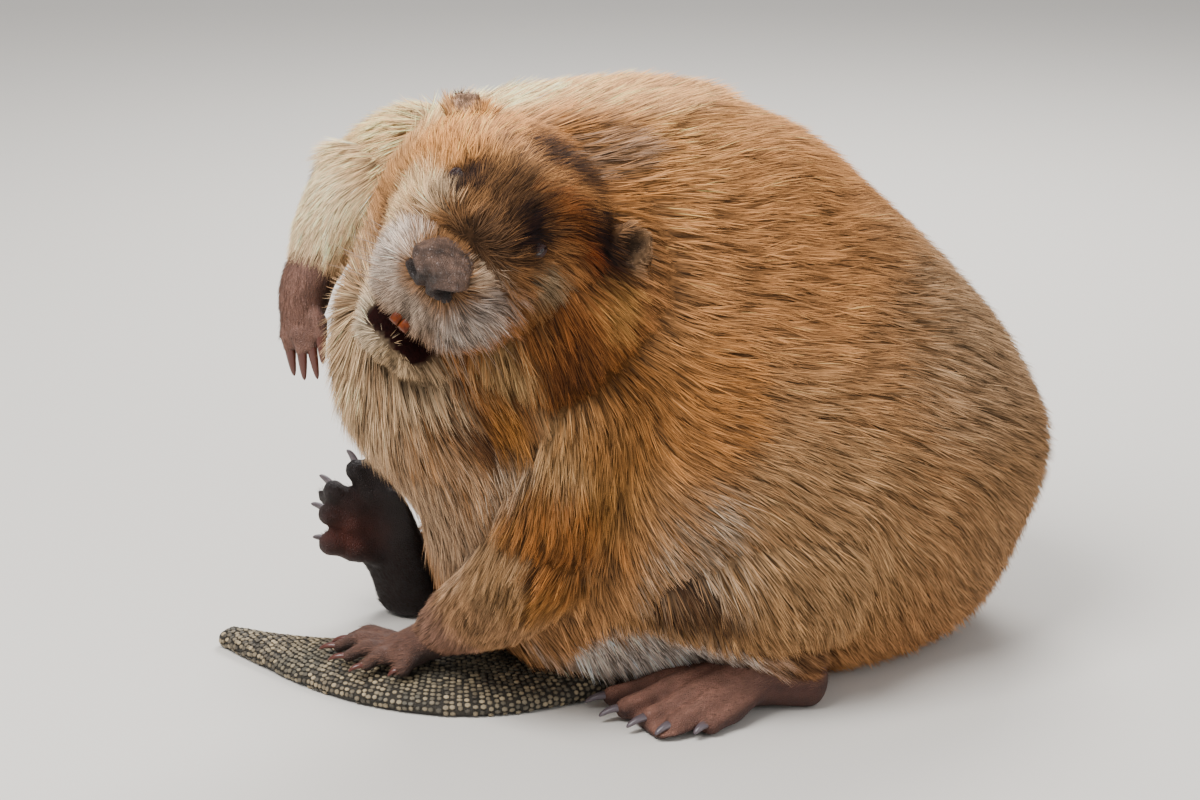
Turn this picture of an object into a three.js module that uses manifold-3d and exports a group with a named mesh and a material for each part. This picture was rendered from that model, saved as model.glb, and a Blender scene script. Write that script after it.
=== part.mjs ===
// A Eurasian beaver (Castor fiber) sitting on its rump, life size, in millimetres.
// +Z is up. The animal faces -X, turned towards -Y; its left side is the -Y side, its rump is at +X.
// The head is turned and rolled to its left, the right arm is raised, and the tail lies forward
// between the hind feet, under the left forepaw. All flesh is given out to the tips of the coat.
import * as THREE from 'three';
import Module from 'manifold-3d';

const wasm = await Module();
wasm.setup();

// ---------------------------------------------------------------- driving sizes
const GAP = 0.3;                               // between touching pieces
const FOOT_DETAIL = 2.0;                       // joined digits are cleaned to within this
const FACING = THREE.MathUtils.degToRad(33);   // turn of the body from -X towards -Y
const ORIGIN_SHIFT = [-26, -6, 0];             // brings the middle of the box's base to the origin

const FORWARD = new THREE.Vector3(-Math.cos(FACING), -Math.sin(FACING), 0);
const UP = new THREE.Vector3(0, 0, 1);

// The head has a frame of its own: x forward to the nose, y to the animal's left, z to the crown.
const HEAD_CENTRE = new THREE.Vector3(-74, -140, 350);
const HEAD_FORWARD = new THREE.Vector3(-0.375, -0.926, -0.037);
const HEAD_UP = new THREE.Vector3(0.563, -0.26, 0.785);

// ---------------------------------------------------------------- making solids
// How far out, from 1 at the pole, the rings of a rounded end lie.
const CAP_REACHES = { 1: [0.7], 2: [0.87, 0.5], 3: [0.94, 0.74, 0.4] };

/** A closed body of rings carried along a smooth path, with rounded or flat ends.
 * Each station is [x, y, z, halfA, halfB]: a centre, and the ring's half sizes along the `across`
 * direction and square to it. `square` is the ring's superellipse power, and `taper` makes it an
 * egg, narrower on its `across` side. `caps` says how far the ends reach past the first and the
 * last station, and `capRings` how finely they are made. Rings are square to the path, or to
 * `axis` where one is given. */
function loft(shape, grow = 0) {
  const {
    stations, across = UP, axis, sides = 12, rings = 6, caps = [0, 0], capRings = 3, square = 2, taper = 0,
  } = shape;
  const centres = smooth(stations.map(([x, y, z]) => new THREE.Vector3(x, y, z)));
  const sizes = smooth(stations.map(([, , , a, b]) => new THREE.Vector3(a, b, 0)));
  const capReaches = (cap) => (cap > 0 ? CAP_REACHES[capRings] : []);
  const levels = [
    ...capReaches(caps[0]).map((reach) => ({ t: 0, reach: -reach, cap: caps[0] + grow })),
    ...Array.from({ length: rings + 1 }, (_, i) => ({ t: i / rings, reach: 0, cap: 0 })),
    ...capReaches(caps[1]).toReversed().map((reach) => ({ t: 1, reach, cap: caps[1] + grow })),
  ];
  const heading = (t) => (axis ?? centres.getTangent(t));
  const pole = (t, reach) => centres.getPoint(t).addScaledVector(heading(t), reach).toArray();
  const positions = [...pole(0, -caps[0] - grow)];
  for (const { t, reach, cap } of levels) {
    const along = heading(t);
    const u = across.clone().addScaledVector(along, -across.dot(along)).normalize();
    const v = new THREE.Vector3().crossVectors(along, u);
    const centre = centres.getPoint(t).addScaledVector(along, reach * cap);
    const size = sizes.getPoint(t);
    const shrink = Math.sqrt(1 - reach * reach);
    for (let j = 0; j < sides; j += 1) {
      const angle = (2 * Math.PI * j) / sides;
      const [c, s] = [Math.cos(angle), Math.sin(angle)];
      const a = (size.x + grow) * shrink * Math.sign(c) * Math.abs(c) ** (2 / square);
      const b = (size.y + grow) * shrink * Math.sign(s) * Math.abs(s) ** (2 / square) * (1 - taper * c);
      positions.push(...centre.clone().addScaledVector(u, a).addScaledVector(v, b).toArray());
    }
  }
  positions.push(...pole(1, caps[1] + grow));
  const last = positions.length / 3 - 1;
  const index = [];
  const ring = (i, j) => 1 + i * sides + (j % sides);
  for (let j = 0; j < sides; j += 1) {
    index.push(0, ring(0, j + 1), ring(0, j));
    for (let i = 0; i < levels.length - 1; i += 1) {
      index.push(ring(i, j), ring(i, j + 1), ring(i + 1, j + 1));
      index.push(ring(i, j), ring(i + 1, j + 1), ring(i + 1, j));
    }
    index.push(last, ring(levels.length - 1, j), ring(levels.length - 1, j + 1));
  }
  return solid(positions, index);
}

/** A smooth curve through points, its parameter even from point to point. */
function smooth(points) {
  return new THREE.CatmullRomCurve3(points, false, 'catmullrom', 0.5);
}

/** A solid from a closed mesh's corner coordinates and triangles. */
function solid(positions, index) {
  return new wasm.Manifold(new wasm.Mesh({
    numProp: 3, vertProperties: new Float32Array(positions), triVerts: new Uint32Array(index),
  }));
}

/** The largest piece that is left of a body when its neighbours are cut away. */
function carve(body, ...neighbours) {
  const rest = neighbours.reduce((left, other) => left.subtract(other), body);
  return rest.decompose().sort((a, b) => b.volume() - a.volume())[0];
}

/** One body made of overlapping ones. */
const join = (...bodies) => bodies.reduce((sum, body) => sum.add(body));

/** What is left of a body above the floor. */
const onFloor = (body) => body.trimByPlane([0, 0, 1], 0);

/** The matrix of a frame with its x axis along `forward` and its z axis near `up`. */
function frameAt(centre, forward, up) {
  const x = forward.clone().normalize();
  const y = new THREE.Vector3().crossVectors(up, x).normalize();
  const z = new THREE.Vector3().crossVectors(x, y);
  return new THREE.Matrix4().makeBasis(x, y, z).setPosition(centre);
}

// ---------------------------------------------------------------- finishes and the model
const finish = (colour, roughness) => new THREE.MeshStandardMaterial({ color: colour, roughness, metalness: 0 });
const FUR_BACK = finish(0xa9743f, 0.95);
const FUR_FACE = finish(0x8a5a33, 0.95);
const FUR_PALE = finish(0xc9b296, 0.95);
const SKIN_PAW = finish(0x6e4a40, 0.7);
const SKIN_NOSE = finish(0x5a4a4c, 0.5);
const SKIN_TAIL = finish(0x77705e, 0.6);
const HORN = finish(0x55494c, 0.4);
const ENAMEL = finish(0xc4571a, 0.3);
const EYE = finish(0x15100d, 0.1);

const beaver = new THREE.Group();
beaver.position.set(...ORIGIN_SHIFT);

/** Adds one named sub-part to the beaver. */
function part(name, body, material) {
  const mesh = body.getMesh();
  const geometry = new THREE.BufferGeometry();
  geometry.setAttribute('position', new THREE.BufferAttribute(mesh.vertProperties, 3));
  geometry.setIndex(new THREE.BufferAttribute(mesh.triVerts, 1));
  geometry.computeVertexNormals();
  const piece = new THREE.Mesh(geometry, material);
  piece.name = name;
  beaver.add(piece);
}

// ---------------------------------------------------------------- trunk and neck
// Level sections from the seat to the shoulders; halfA is along the body, halfB across it.
const TRUNK = {
  across: FORWARD, axis: UP, sides: 24, rings: 12, caps: [0, 15], capRings: 2, square: 2.1, taper: 0.16,
  stations: [
    [126, 38, 0, 112, 84],
    [104, 32, 30, 196, 128],
    [94, 28, 80, 236, 152],
    [92, 24, 145, 256, 162],
    [57, 22, 210, 267, 158],
    [30, 18, 270, 244, 144],
    [14, 14, 325, 202, 126],
    [-2, 12, 370, 163, 106],
    [-18, 10, 402, 112, 74],
  ],
};
const trunk = (grow = 0) => onFloor(loft(TRUNK, grow));

// From between the shoulders to the ruff behind the cheeks and under the throat; halfA is upright.
const NECK = {
  across: UP, sides: 14, rings: 4, caps: [20, 26], capRings: 2,
  stations: [
    [-24, -20, 296, 100, 102],
    [-46, -84, 298, 96, 98],
    [-64, -142, 290, 70, 74],
  ],
};
const neck = (grow = 0) => loft(NECK, grow);

// ---------------------------------------------------------------- head
const headFrame = frameAt(HEAD_CENTRE, HEAD_FORWARD, HEAD_UP);
const inHead = (body) => body.transform(headFrame.elements);
const LEFT = new THREE.Vector3(0, 1, 0);

// Skull and cheeks from nape to snout; halfA is sideways, halfB upright.
const SKULL = {
  across: LEFT, sides: 18, rings: 7, caps: [14, 8], capRings: 2, square: 2.4,
  stations: [
    [-84, 0, 3, 58, 52],
    [-58, 0, -3, 77, 63],
    [-30, 0, -9, 81, 69],
    [-4, 0, -13, 76, 69],
    [20, 0, -17, 62, 60],
    [38, 0, -22, 52, 52],
  ],
};
// The blunt upper snout with its whisker pads.
const MUZZLE = {
  across: LEFT, sides: 14, rings: 3, caps: [0, 9], capRings: 2, square: 2.3,
  stations: [
    [26, 0, -26, 54, 44],
    [46, 0, -30, 46, 39],
    [62, 0, -34, 37, 32],
  ],
};
// The chin and the floor of the mouth.
const JAW = {
  across: LEFT, sides: 10, rings: 3, caps: [10, 8], capRings: 1,
  stations: [
    [-8, 0, -70, 46, 30],
    [16, 0, -83, 40, 22],
    [42, 0, -92, 27, 13.5],
  ],
};
// The naked pad at the tip of the snout.
const NOSE_PAD = {
  across: LEFT, sides: 12, rings: 2, caps: [4, 5], capRings: 1, square: 2.4,
  stations: [
    [56, 0, 3, 19, 9],
    [66, 0, -2, 23, 15],
    [75, 0, -8, 22, 16],
  ],
};
// The left ear stands this much further out and up than the right one, which lies flatter.
const LEFT_EAR_OUT = 4;
const ears = [[1, LEFT_EAR_OUT], [-1, 0]].map(([side, out]) => ({
  // A short round flap; halfA is half its width around the head, halfB half its thickness.
  across: new THREE.Vector3(0, -0.7 * side, 0.7), sides: 10, rings: 3, caps: [0, 6], capRings: 1,
  square: 2.2, stations: [
    [-42, (58 + out) * side, 26 + out, 15, 9],
    [-46, (69 + out) * side, 35 + out, 18, 7],
    [-50, (78 + out) * side, 42 + out, 14, 4.5],
  ],
}));
const EYE_RADIUS = 7;
const EYE_PLACE = [25, 37, 31];
// The two upper front teeth, side by side; halfA is their joint half width.
const INCISORS = {
  across: LEFT, sides: 8, rings: 2, square: 3,
  stations: [
    [56, 0, -52, 9, 4.5],
    [62, 0, -64, 8.5, 4],
    [61, 0, -75, 7.5, 1.5],
  ],
};

const skull = (grow = 0) => inHead(loft(SKULL, grow));
const muzzle = (grow = 0) => inHead(loft(MUZZLE, grow));
const jaw = (grow = 0) => inHead(loft(JAW, grow));
const nosePad = (grow = 0) => inHead(loft(NOSE_PAD, grow));
const ear = (i, grow = 0) => inHead(loft(ears[i], grow));
const incisors = (grow = 0) => inHead(loft(INCISORS, grow));

/** A ball in the head's frame. */
function eyeBall(side, grow = 0) {
  const [x, y, z] = EYE_PLACE;
  const r = EYE_RADIUS + grow;
  return inHead(loft({ across: LEFT, sides: 8, rings: 1, caps: [r, r], capRings: 2, stations: [
    [x - 0.05, side * y, z, r, r], [x + 0.05, side * y, z, r, r]] }));
}

// ---------------------------------------------------------------- limbs
// The planted left arm, from the shoulder to the wrist.
const ARM_LEFT_UPPER = {
  across: UP, sides: 12, rings: 4, caps: [24, 24], capRings: 1,
  stations: [
    [12, -82, 254, 56, 62],
    [-14, -118, 200, 56, 54],
    [-36, -146, 140, 46, 42],
  ],
};
const ARM_LEFT_LOWER = {
  across: UP, sides: 12, rings: 5, caps: [22, 6], capRings: 1,
  stations: [
    [-36, -146, 136, 42, 38],
    [-66, -128, 96, 38, 34],
    [-98, -92, 62, 27, 26],
    [-114, -76, 46, 19, 22],
  ],
};
// The raised right arm: the elbow is high, and the forearm hangs from it.
const ARM_RIGHT_UPPER = {
  across: UP, sides: 12, rings: 4, caps: [20, 22], capRings: 1,
  stations: [
    [-60, 46, 326, 66, 62],
    [-96, 34, 346, 56, 54],
    [-128, 18, 358, 48, 48],
    [-156, 4, 356, 40, 40],
  ],
};
const ARM_RIGHT_LOWER = {
  across: FORWARD, sides: 12, rings: 4, caps: [24, 5], capRings: 1,
  stations: [
    [-160, 0, 352, 40, 38],
    [-186, -22, 324, 29, 29],
    [-202, -38, 290, 18, 20],
  ],
};

/** A finger or toe: a root, a raised joint and a tip, each with its radius. */
const digit = (stations, grow = 0) => loft({
  stations: stations.map(([x, y, z, r]) => [x, y, z, r, r]), sides: 5, rings: 2, caps: [0, 3], capRings: 1,
}, grow);

/** A claw from its root to its point, bowed upwards by `bow`. */
function claw(root, tip, radius, bow, grow = 0) {
  const middle = [0, 1, 2].map((k) => (root[k] + tip[k]) / 2);
  return loft({ sides: 5, rings: 2, stations: [
    [...root, radius, radius * 0.8],
    [middle[0], middle[1], middle[2] + bow, radius * 0.8, radius * 0.65],
    [...tip, radius * 0.3, radius * 0.3],
  ] }, grow);
}

// Each foot: a palm or sole, its digits from the inner to the outer one, and a claw on each.
const FOREPAW_LEFT = {
  name: 'forepaw_left',
  palm: { across: UP, sides: 9, rings: 2, caps: [8, 10], capRings: 1, stations: [
    [-114, -74, 42, 17, 20],
    [-132, -70, 34, 12, 23],
    [-146, -68, 30, 9, 21],
  ] },
  digits: [
    [[-146, -50, 30, 7], [-164, -40, 32, 6], [-178, -34, 25, 4.5]],
    [[-148, -58, 30, 7], [-170, -51, 31, 6], [-186, -46, 24, 4.5]],
    [[-148, -68, 30, 7], [-164, -68, 31, 6], [-178, -66, 24, 4.5]],
    [[-144, -78, 30, 7], [-154, -82, 31, 6], [-164, -84, 24, 4.5]],
    [[-128, -84, 32, 8], [-134, -90, 30, 7], [-138, -94, 25, 6]],
  ],
  claws: [[-192, -30, 21], [-200, -44, 21], [-192, -66, 21], [-176, -88, 21], [-148, -97, 21]],
  clawRadius: 3, clawBow: 2,
};
const FOREPAW_RIGHT = {
  name: 'forepaw_right',
  palm: { across: FORWARD, sides: 9, rings: 2, caps: [8, 8], capRings: 1, stations: [
    [-202, -38, 290, 18, 20],
    [-205, -44, 276, 17, 17],
    [-206, -48, 266, 14, 15],
  ] },
  digits: [
    [[-197, -54, 272, 7], [-193, -64, 268, 6], [-191, -70, 260, 4.5]],
    [[-203, -54, 266, 7], [-200, -61, 260, 6], [-198, -64, 251, 4.5]],
    [[-209, -54, 264, 7], [-207, -60, 256, 6], [-205, -62, 247, 4.5]],
    [[-214, -48, 264, 7], [-215, -51, 255, 6], [-214, -52, 246, 4.5]],
    [[-214, -38, 266, 7], [-216, -38, 258, 6], [-215, -38, 250, 4.5]],
  ],
  claws: [[-190, -74, 244], [-195, -65, 231], [-204, -62, 229], [-212, -52, 229], [-213, -38, 234]],
  clawRadius: 3.2, clawBow: 0,
};
const HINDFOOT_LEFT = {
  name: 'hindfoot_left',
  palm: { across: UP, sides: 10, rings: 3, caps: [12, 6], capRings: 1, stations: [
    [146, -92, 17, 19, 22],
    [112, -100, 24, 22, 24],
    [80, -110, 18, 15, 32],
    [48, -122, 8, 7, 42],
    [28, -130, 4, 4, 43],
  ] },
  digits: [
    [[98, -94, 30, 11], [46, -98, 17, 9], [8, -104, 9, 7]],
    [[100, -102, 32, 12], [52, -116, 20, 9.5], [17, -127, 9, 7.5]],
    [[102, -108, 31, 12], [62, -132, 19, 9.5], [35, -143, 9, 7.5]],
    [[105, -112, 28, 12], [72, -142, 16, 9.5], [51, -156, 9, 7.5]],
    [[110, -114, 22, 11], [90, -138, 12, 9], [75, -153, 8, 7.5]],
  ],
  claws: [[-14, -108, 5], [-4, -134, 5], [15, -155, 5], [35, -168, 5], [62, -167, 5]],
  clawRadius: 5, clawBow: 2,
};
const HINDFOOT_RIGHT = {
  name: 'hindfoot_right',
  palm: { across: new THREE.Vector3(0.6, 0.8, 0), sides: 10, rings: 3, caps: [14, 6], capRings: 1, stations: [
    [-144, 86, 14, 18, 24],
    [-150, 80, 42, 17, 28],
    [-162, 74, 68, 13, 36],
    [-172, 68, 90, 7, 42],
    [-178, 64, 102, 4, 42],
  ] },
  digits: [
    [[-148, 66, 78, 11], [-156, 58, 108, 10], [-163, 54, 130, 8]],
    [[-154, 68, 78, 11], [-168, 58, 106, 10], [-178, 53, 124, 8]],
    [[-160, 70, 74, 11], [-182, 58, 96, 10], [-195, 52, 108, 8]],
    [[-162, 72, 66, 12], [-184, 60, 82, 11], [-199, 52, 90, 8]],
    [[-160, 74, 52, 12], [-182, 60, 62, 11], [-198, 50, 68, 9]],
  ],
  claws: [[-167, 58, 147], [-186, 58, 140], [-207, 58, 120], [-214, 56, 98], [-213, 52, 73]],
  clawRadius: 4.5, clawBow: 2,
};

// The hind legs above the feet; halfA is upright.
const THIGH_LEFT = {
  across: UP, sides: 12, rings: 4, caps: [34, 26], capRings: 1,
  stations: [
    [150, -76, 98, 62, 56],
    [96, -98, 96, 64, 57],
    [44, -112, 90, 52, 46],
  ],
};
const SHANK_LEFT = {
  across: UP, sides: 10, rings: 2, caps: [18, 10], capRings: 1,
  stations: [
    [70, -106, 62, 32, 30],
    [108, -102, 46, 28, 26],
    [142, -94, 32, 22, 24],
  ],
};
const THIGH_RIGHT = {
  across: UP, sides: 12, rings: 4, caps: [34, 26], capRings: 1,
  stations: [
    [40, 130, 88, 66, 50],
    [-20, 122, 84, 74, 52],
    [-76, 108, 78, 60, 46],
  ],
};
const SHANK_RIGHT = {
  across: UP, sides: 10, rings: 2, caps: [18, 10], capRings: 1,
  stations: [
    [-70, 110, 66, 42, 38],
    [-108, 100, 44, 32, 30],
    [-132, 92, 26, 24, 24],
  ],
};

// The flat tail, from its furred root under the seat to its round tip; halfA is its half width.
const TAIL_ROLL = new THREE.Vector3(0, 1, 0.16);
const TAIL = {
  across: TAIL_ROLL, sides: 12, rings: 14, caps: [0, 8], capRings: 2, square: 2.5,
  stations: [
    [46, 6, 17, 34, 18],
    [0, -26, 16, 46, 14],
    [-45, -55, 14, 54, 11],
    [-95, -69, 12.5, 55, 10],
    [-145, -64, 11.5, 44, 9],
    [-192, -43, 10, 30, 8],
    [-232, -14, 8, 18, 7],
    [-270, 19, 6.5, 9, 6],
  ],
};
const TAIL_ROOT = {
  across: TAIL_ROLL, sides: 12, rings: 3, caps: [10, 0], capRings: 1,
  stations: [
    [104, 44, 34, 46, 36],
    [76, 26, 26, 40, 28],
    [46.3, 6.2, 17, 35, 19],
  ],
};

// ---------------------------------------------------------------- assembly
const body = trunk(GAP);
const thighLeft = (grow = 0) => onFloor(loft(THIGH_LEFT, grow));
const thighRight = (grow = 0) => onFloor(loft(THIGH_RIGHT, grow));
const shankLeft = (grow = 0) => onFloor(loft(SHANK_LEFT, grow));
const shankRight = (grow = 0) => onFloor(loft(SHANK_RIGHT, grow));
const tail = (grow = 0) => onFloor(loft(TAIL, grow));
const tailRoot = (grow = 0) => onFloor(loft(TAIL_ROOT, grow));

/** A foot's palm and digits, without the claws. */
function sole(foot, grow = 0) {
  const palm = loft(foot.palm, grow);
  return onFloor(join(palm, ...foot.digits.map((stations) => digit(stations, grow))).simplify(FOOT_DETAIL));
}

/** Adds a foot, cut by its neighbours, and its claws, which sit in the tips of its digits. */
function foot(spec, ...neighbours) {
  const claws = (grow) => spec.claws.map((tip, i) => {
    const root = spec.digits[i][2].slice(0, 3);
    return onFloor(claw(root, tip, spec.clawRadius, spec.clawBow, grow));
  });
  part(spec.name, carve(sole(spec), ...neighbours, ...claws(GAP)), SKIN_PAW);
  claws(0).forEach((one, i) => part(`claw_${spec.name}_${i + 1}`, carve(one, ...neighbours), HORN));
}

part('trunk', carve(trunk(), skull(GAP), jaw(GAP), ear(0, GAP), tail(GAP), tailRoot(GAP)), FUR_BACK);
part('neck', carve(neck(), body, skull(GAP), jaw(GAP), ear(0, GAP)), FUR_BACK);
part('head', carve(skull(), muzzle(GAP), jaw(GAP), eyeBall(1, GAP), eyeBall(-1, GAP)), FUR_FACE);
part('muzzle', carve(muzzle(), jaw(GAP), nosePad(GAP), incisors(GAP)), FUR_PALE);
part('incisors', incisors(), ENAMEL);
part('jaw', jaw(), FUR_FACE);
part('nose', nosePad(), SKIN_NOSE);
part('eye_left', eyeBall(1), EYE);
part('eye_right', eyeBall(-1), EYE);
part('ear_left', carve(ear(0), skull(GAP)), FUR_FACE);
part('ear_right', carve(ear(1), skull(GAP), body), FUR_FACE);
part('arm_left_upper', carve(loft(ARM_LEFT_UPPER), body, neck(GAP), loft(ARM_LEFT_LOWER, GAP)), FUR_BACK);
part('arm_left_lower', carve(loft(ARM_LEFT_LOWER), body), FUR_BACK);
part('arm_right_upper', carve(loft(ARM_RIGHT_UPPER), body, loft(ARM_RIGHT_LOWER, GAP)), FUR_BACK);
part('arm_right_lower', carve(loft(ARM_RIGHT_LOWER), body), FUR_BACK);
foot(FOREPAW_LEFT, loft(ARM_LEFT_LOWER, GAP), tail(GAP));
foot(FOREPAW_RIGHT, loft(ARM_RIGHT_LOWER, GAP), body);
part('thigh_left', carve(thighLeft(), body), FUR_BACK);
part('thigh_right', carve(thighRight(), body), FUR_BACK);
part('shank_left', carve(shankLeft(), body, thighLeft(GAP), sole(HINDFOOT_LEFT, GAP)), FUR_BACK);
part('shank_right', carve(shankRight(), body, thighRight(GAP), sole(HINDFOOT_RIGHT, GAP)), FUR_BACK);
foot(HINDFOOT_LEFT, body, thighLeft(GAP), tail(GAP));
foot(HINDFOOT_RIGHT, body, thighRight(GAP), tail(GAP));
part('tail', carve(tail(), tailRoot(GAP)), SKIN_TAIL);
part('tail_root', tailRoot(), FUR_BACK);

export default beaver;
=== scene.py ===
"""A life-size model of a Eurasian beaver sitting on its rump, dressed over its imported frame.

One skin is made from smooth bodies of rings, joined, and lies inside the coat's tips by the coat's
depth. The coat is solid tufts of hair rooted on that skin, each a thin tapering prism that follows
the lie of the hair. Eyes, lids, nose, teeth, whiskers, claws and the tail's scales are pieces of
their own. Sizes are in millimetres in the posing frame, which is the row frame before POSE_SHIFT.
"""

import logging
import math
from collections.abc import Sequence
from dataclasses import dataclass, field
from enum import Enum

import bmesh
import bpy
import numpy as np
from mathutils import Matrix, Vector

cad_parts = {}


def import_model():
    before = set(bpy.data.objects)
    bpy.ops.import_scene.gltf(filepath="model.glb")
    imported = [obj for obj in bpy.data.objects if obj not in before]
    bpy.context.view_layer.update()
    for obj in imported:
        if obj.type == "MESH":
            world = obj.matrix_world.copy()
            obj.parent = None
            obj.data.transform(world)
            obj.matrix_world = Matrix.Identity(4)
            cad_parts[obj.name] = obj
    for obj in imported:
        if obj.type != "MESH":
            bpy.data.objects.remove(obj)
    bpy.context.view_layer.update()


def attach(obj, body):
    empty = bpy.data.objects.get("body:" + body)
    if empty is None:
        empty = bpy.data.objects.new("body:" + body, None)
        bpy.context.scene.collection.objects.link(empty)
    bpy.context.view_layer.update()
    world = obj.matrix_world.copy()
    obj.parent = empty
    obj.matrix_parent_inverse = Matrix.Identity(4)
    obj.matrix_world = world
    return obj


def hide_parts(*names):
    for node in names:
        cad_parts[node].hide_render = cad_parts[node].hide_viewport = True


Array = np.ndarray
log = logging.getLogger("beaver")

MM = 0.001
POSE_SHIFT = np.array([-26.0, -6.0, 0.0])
FACING = math.radians(33.0)
FORWARD = np.array([-math.cos(FACING), -math.sin(FACING), 0.0])
UP = np.array([0.0, 0.0, 1.0])
SEED = 20


# ---------------------------------------------------------------- small mathematics
def unit(vectors: Array) -> Array:
    """Vectors scaled to length one along their last axis."""
    return vectors / np.maximum(np.linalg.norm(vectors, axis=-1, keepdims=True), 1e-9)


def ramp(low: float, high: float, values: Array) -> Array:
    """A smooth step: 0 below low, 1 above high, 3t^2 - 2t^3 between."""
    t = np.clip((values - low) / (high - low), 0.0, 1.0)
    return t * t * (3.0 - 2.0 * t)


def mix(a: Array, b: Array, share: Array) -> Array:
    """a moved towards b by each row's share."""
    return a + (b - a) * share[..., None]


def bent(values: Array, power: float) -> Array:
    """Cosines or sines of a ring bent towards a rounded square: |v|^power with v's sign."""
    return np.sign(values) * np.abs(values) ** power


def far_from(points: Array, centre: Sequence[float], radii: Sequence[float] | float) -> Array:
    """Each point's distance from the middle of a soft ellipsoid, in its radii."""
    return np.linalg.norm((points - np.array(centre)) / np.array(radii), axis=1)


def inside(quads: Array, s: Array, t: Array) -> Array:
    """Places in (n, 4, 3) quads at s along and t across, or such a blend of their corners' values."""
    shares = ((1 - s) * (1 - t), s * (1 - t), s * t, (1 - s) * t)
    return sum(quads[:, k] * share for k, share in enumerate(shares))


def linear(code: str) -> Array:
    """The linear red, green and blue of an sRGB hex colour such as c9b296."""
    srgb = np.array([int(code[i:i + 2], 16) for i in (0, 2, 4)]) / 255.0
    return np.where(srgb <= 0.04045, srgb / 12.92, ((srgb + 0.055) / 1.055) ** 2.4)


def spline(points: Array, t: Array) -> Array:
    """A Catmull-Rom curve through points, with t even from point to point and mirrored ends.

    Args:
        points: (n, k) values to pass through.
        t: (m,) places from 0 to 1.

    Returns:
        (m, k) values.
    """
    ends = np.vstack([2 * points[0] - points[1], points, 2 * points[-1] - points[-2]])
    place = np.clip(t, 0.0, 1.0) * (len(points) - 1)
    i = np.minimum(place.astype(int), len(points) - 2)
    f = (place - i)[:, None]
    a, b, c, d = ends[i], ends[i + 1], ends[i + 2], ends[i + 3]
    m1, m2 = (c - a) / 2, (d - b) / 2
    return b + f * m1 + f * f * (3 * (c - b) - 2 * m1 - m2) + f ** 3 * (2 * (b - c) + m1 + m2)


@dataclass(frozen=True)
class Ripples:
    """Smooth seeded noise: a sum of sine waves of random direction and phase.

    Attributes:
        wavelength: the middle wavelength in mm; waves run from 0.6 to 1.7 times it.
        seed: which noise this is.
        waves: how many waves are added.
        grain: a direction along which the noise is drawn out, if any.
        stretch: how many times longer the noise is along its grain.
    """

    wavelength: float
    seed: int
    waves: int = 18
    grain: tuple[float, float, float] | None = None
    stretch: float = 3.5

    def waves_of(self) -> tuple[Array, Array]:
        """Wave vectors (3, waves) in radians per mm, and phases (waves,)."""
        rng = np.random.default_rng(SEED * 1000 + self.seed)
        lengths = self.wavelength * rng.uniform(0.6, 1.7, self.waves)
        vectors = unit(rng.normal(size=(self.waves, 3))) * (2 * math.pi / lengths)[:, None]
        if self.grain is not None:
            axis = unit(np.array(self.grain))
            vectors -= np.outer(vectors @ axis, axis) * (1 - 1 / self.stretch)
        return vectors.T, rng.uniform(0, 2 * math.pi, self.waves)

    def value(self, points: Array) -> Array:
        """The noise at points, about -2 to 2 with a spread of 1."""
        vectors, phases = self.waves_of()
        return np.sin(points @ vectors + phases).sum(axis=1) * math.sqrt(2 / self.waves)

    def slope(self, points: Array) -> Array:
        """The noise's gradient times its wavelength, (n, 3)."""
        vectors, phases = self.waves_of()
        steep = np.cos(points @ vectors + phases) @ vectors.T
        return steep * math.sqrt(2 / self.waves) * self.wavelength / (2 * math.pi)


# ---------------------------------------------------------------- the head's own frame
@dataclass(frozen=True)
class HeadFrame:
    """The head's frame: x forward to the nose, y to the animal's left, z to the crown."""

    centre: Array = field(default_factory=lambda: np.array([-74.0, -140.0, 350.0]))
    forward: Array = field(default_factory=lambda: np.array([-0.375, -0.926, -0.037]))
    up: Array = field(default_factory=lambda: np.array([0.563, -0.26, 0.785]))

    def axes(self) -> Array:
        """Rows are the frame's x, y and z axes."""
        x = unit(self.forward)
        y = unit(np.cross(self.up, x))
        return np.array([x, y, np.cross(x, y)])

    def out(self, points: Array) -> Array:
        """Head points taken to the posing frame."""
        return points @ self.axes() + self.centre

    def turn(self, vectors: Array) -> Array:
        """Head directions taken to the posing frame."""
        return vectors @ self.axes()

    def into(self, points: Array) -> Array:
        """Posing-frame points taken to the head frame."""
        return (points - self.centre) @ self.axes().T


HEAD = HeadFrame()


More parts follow.
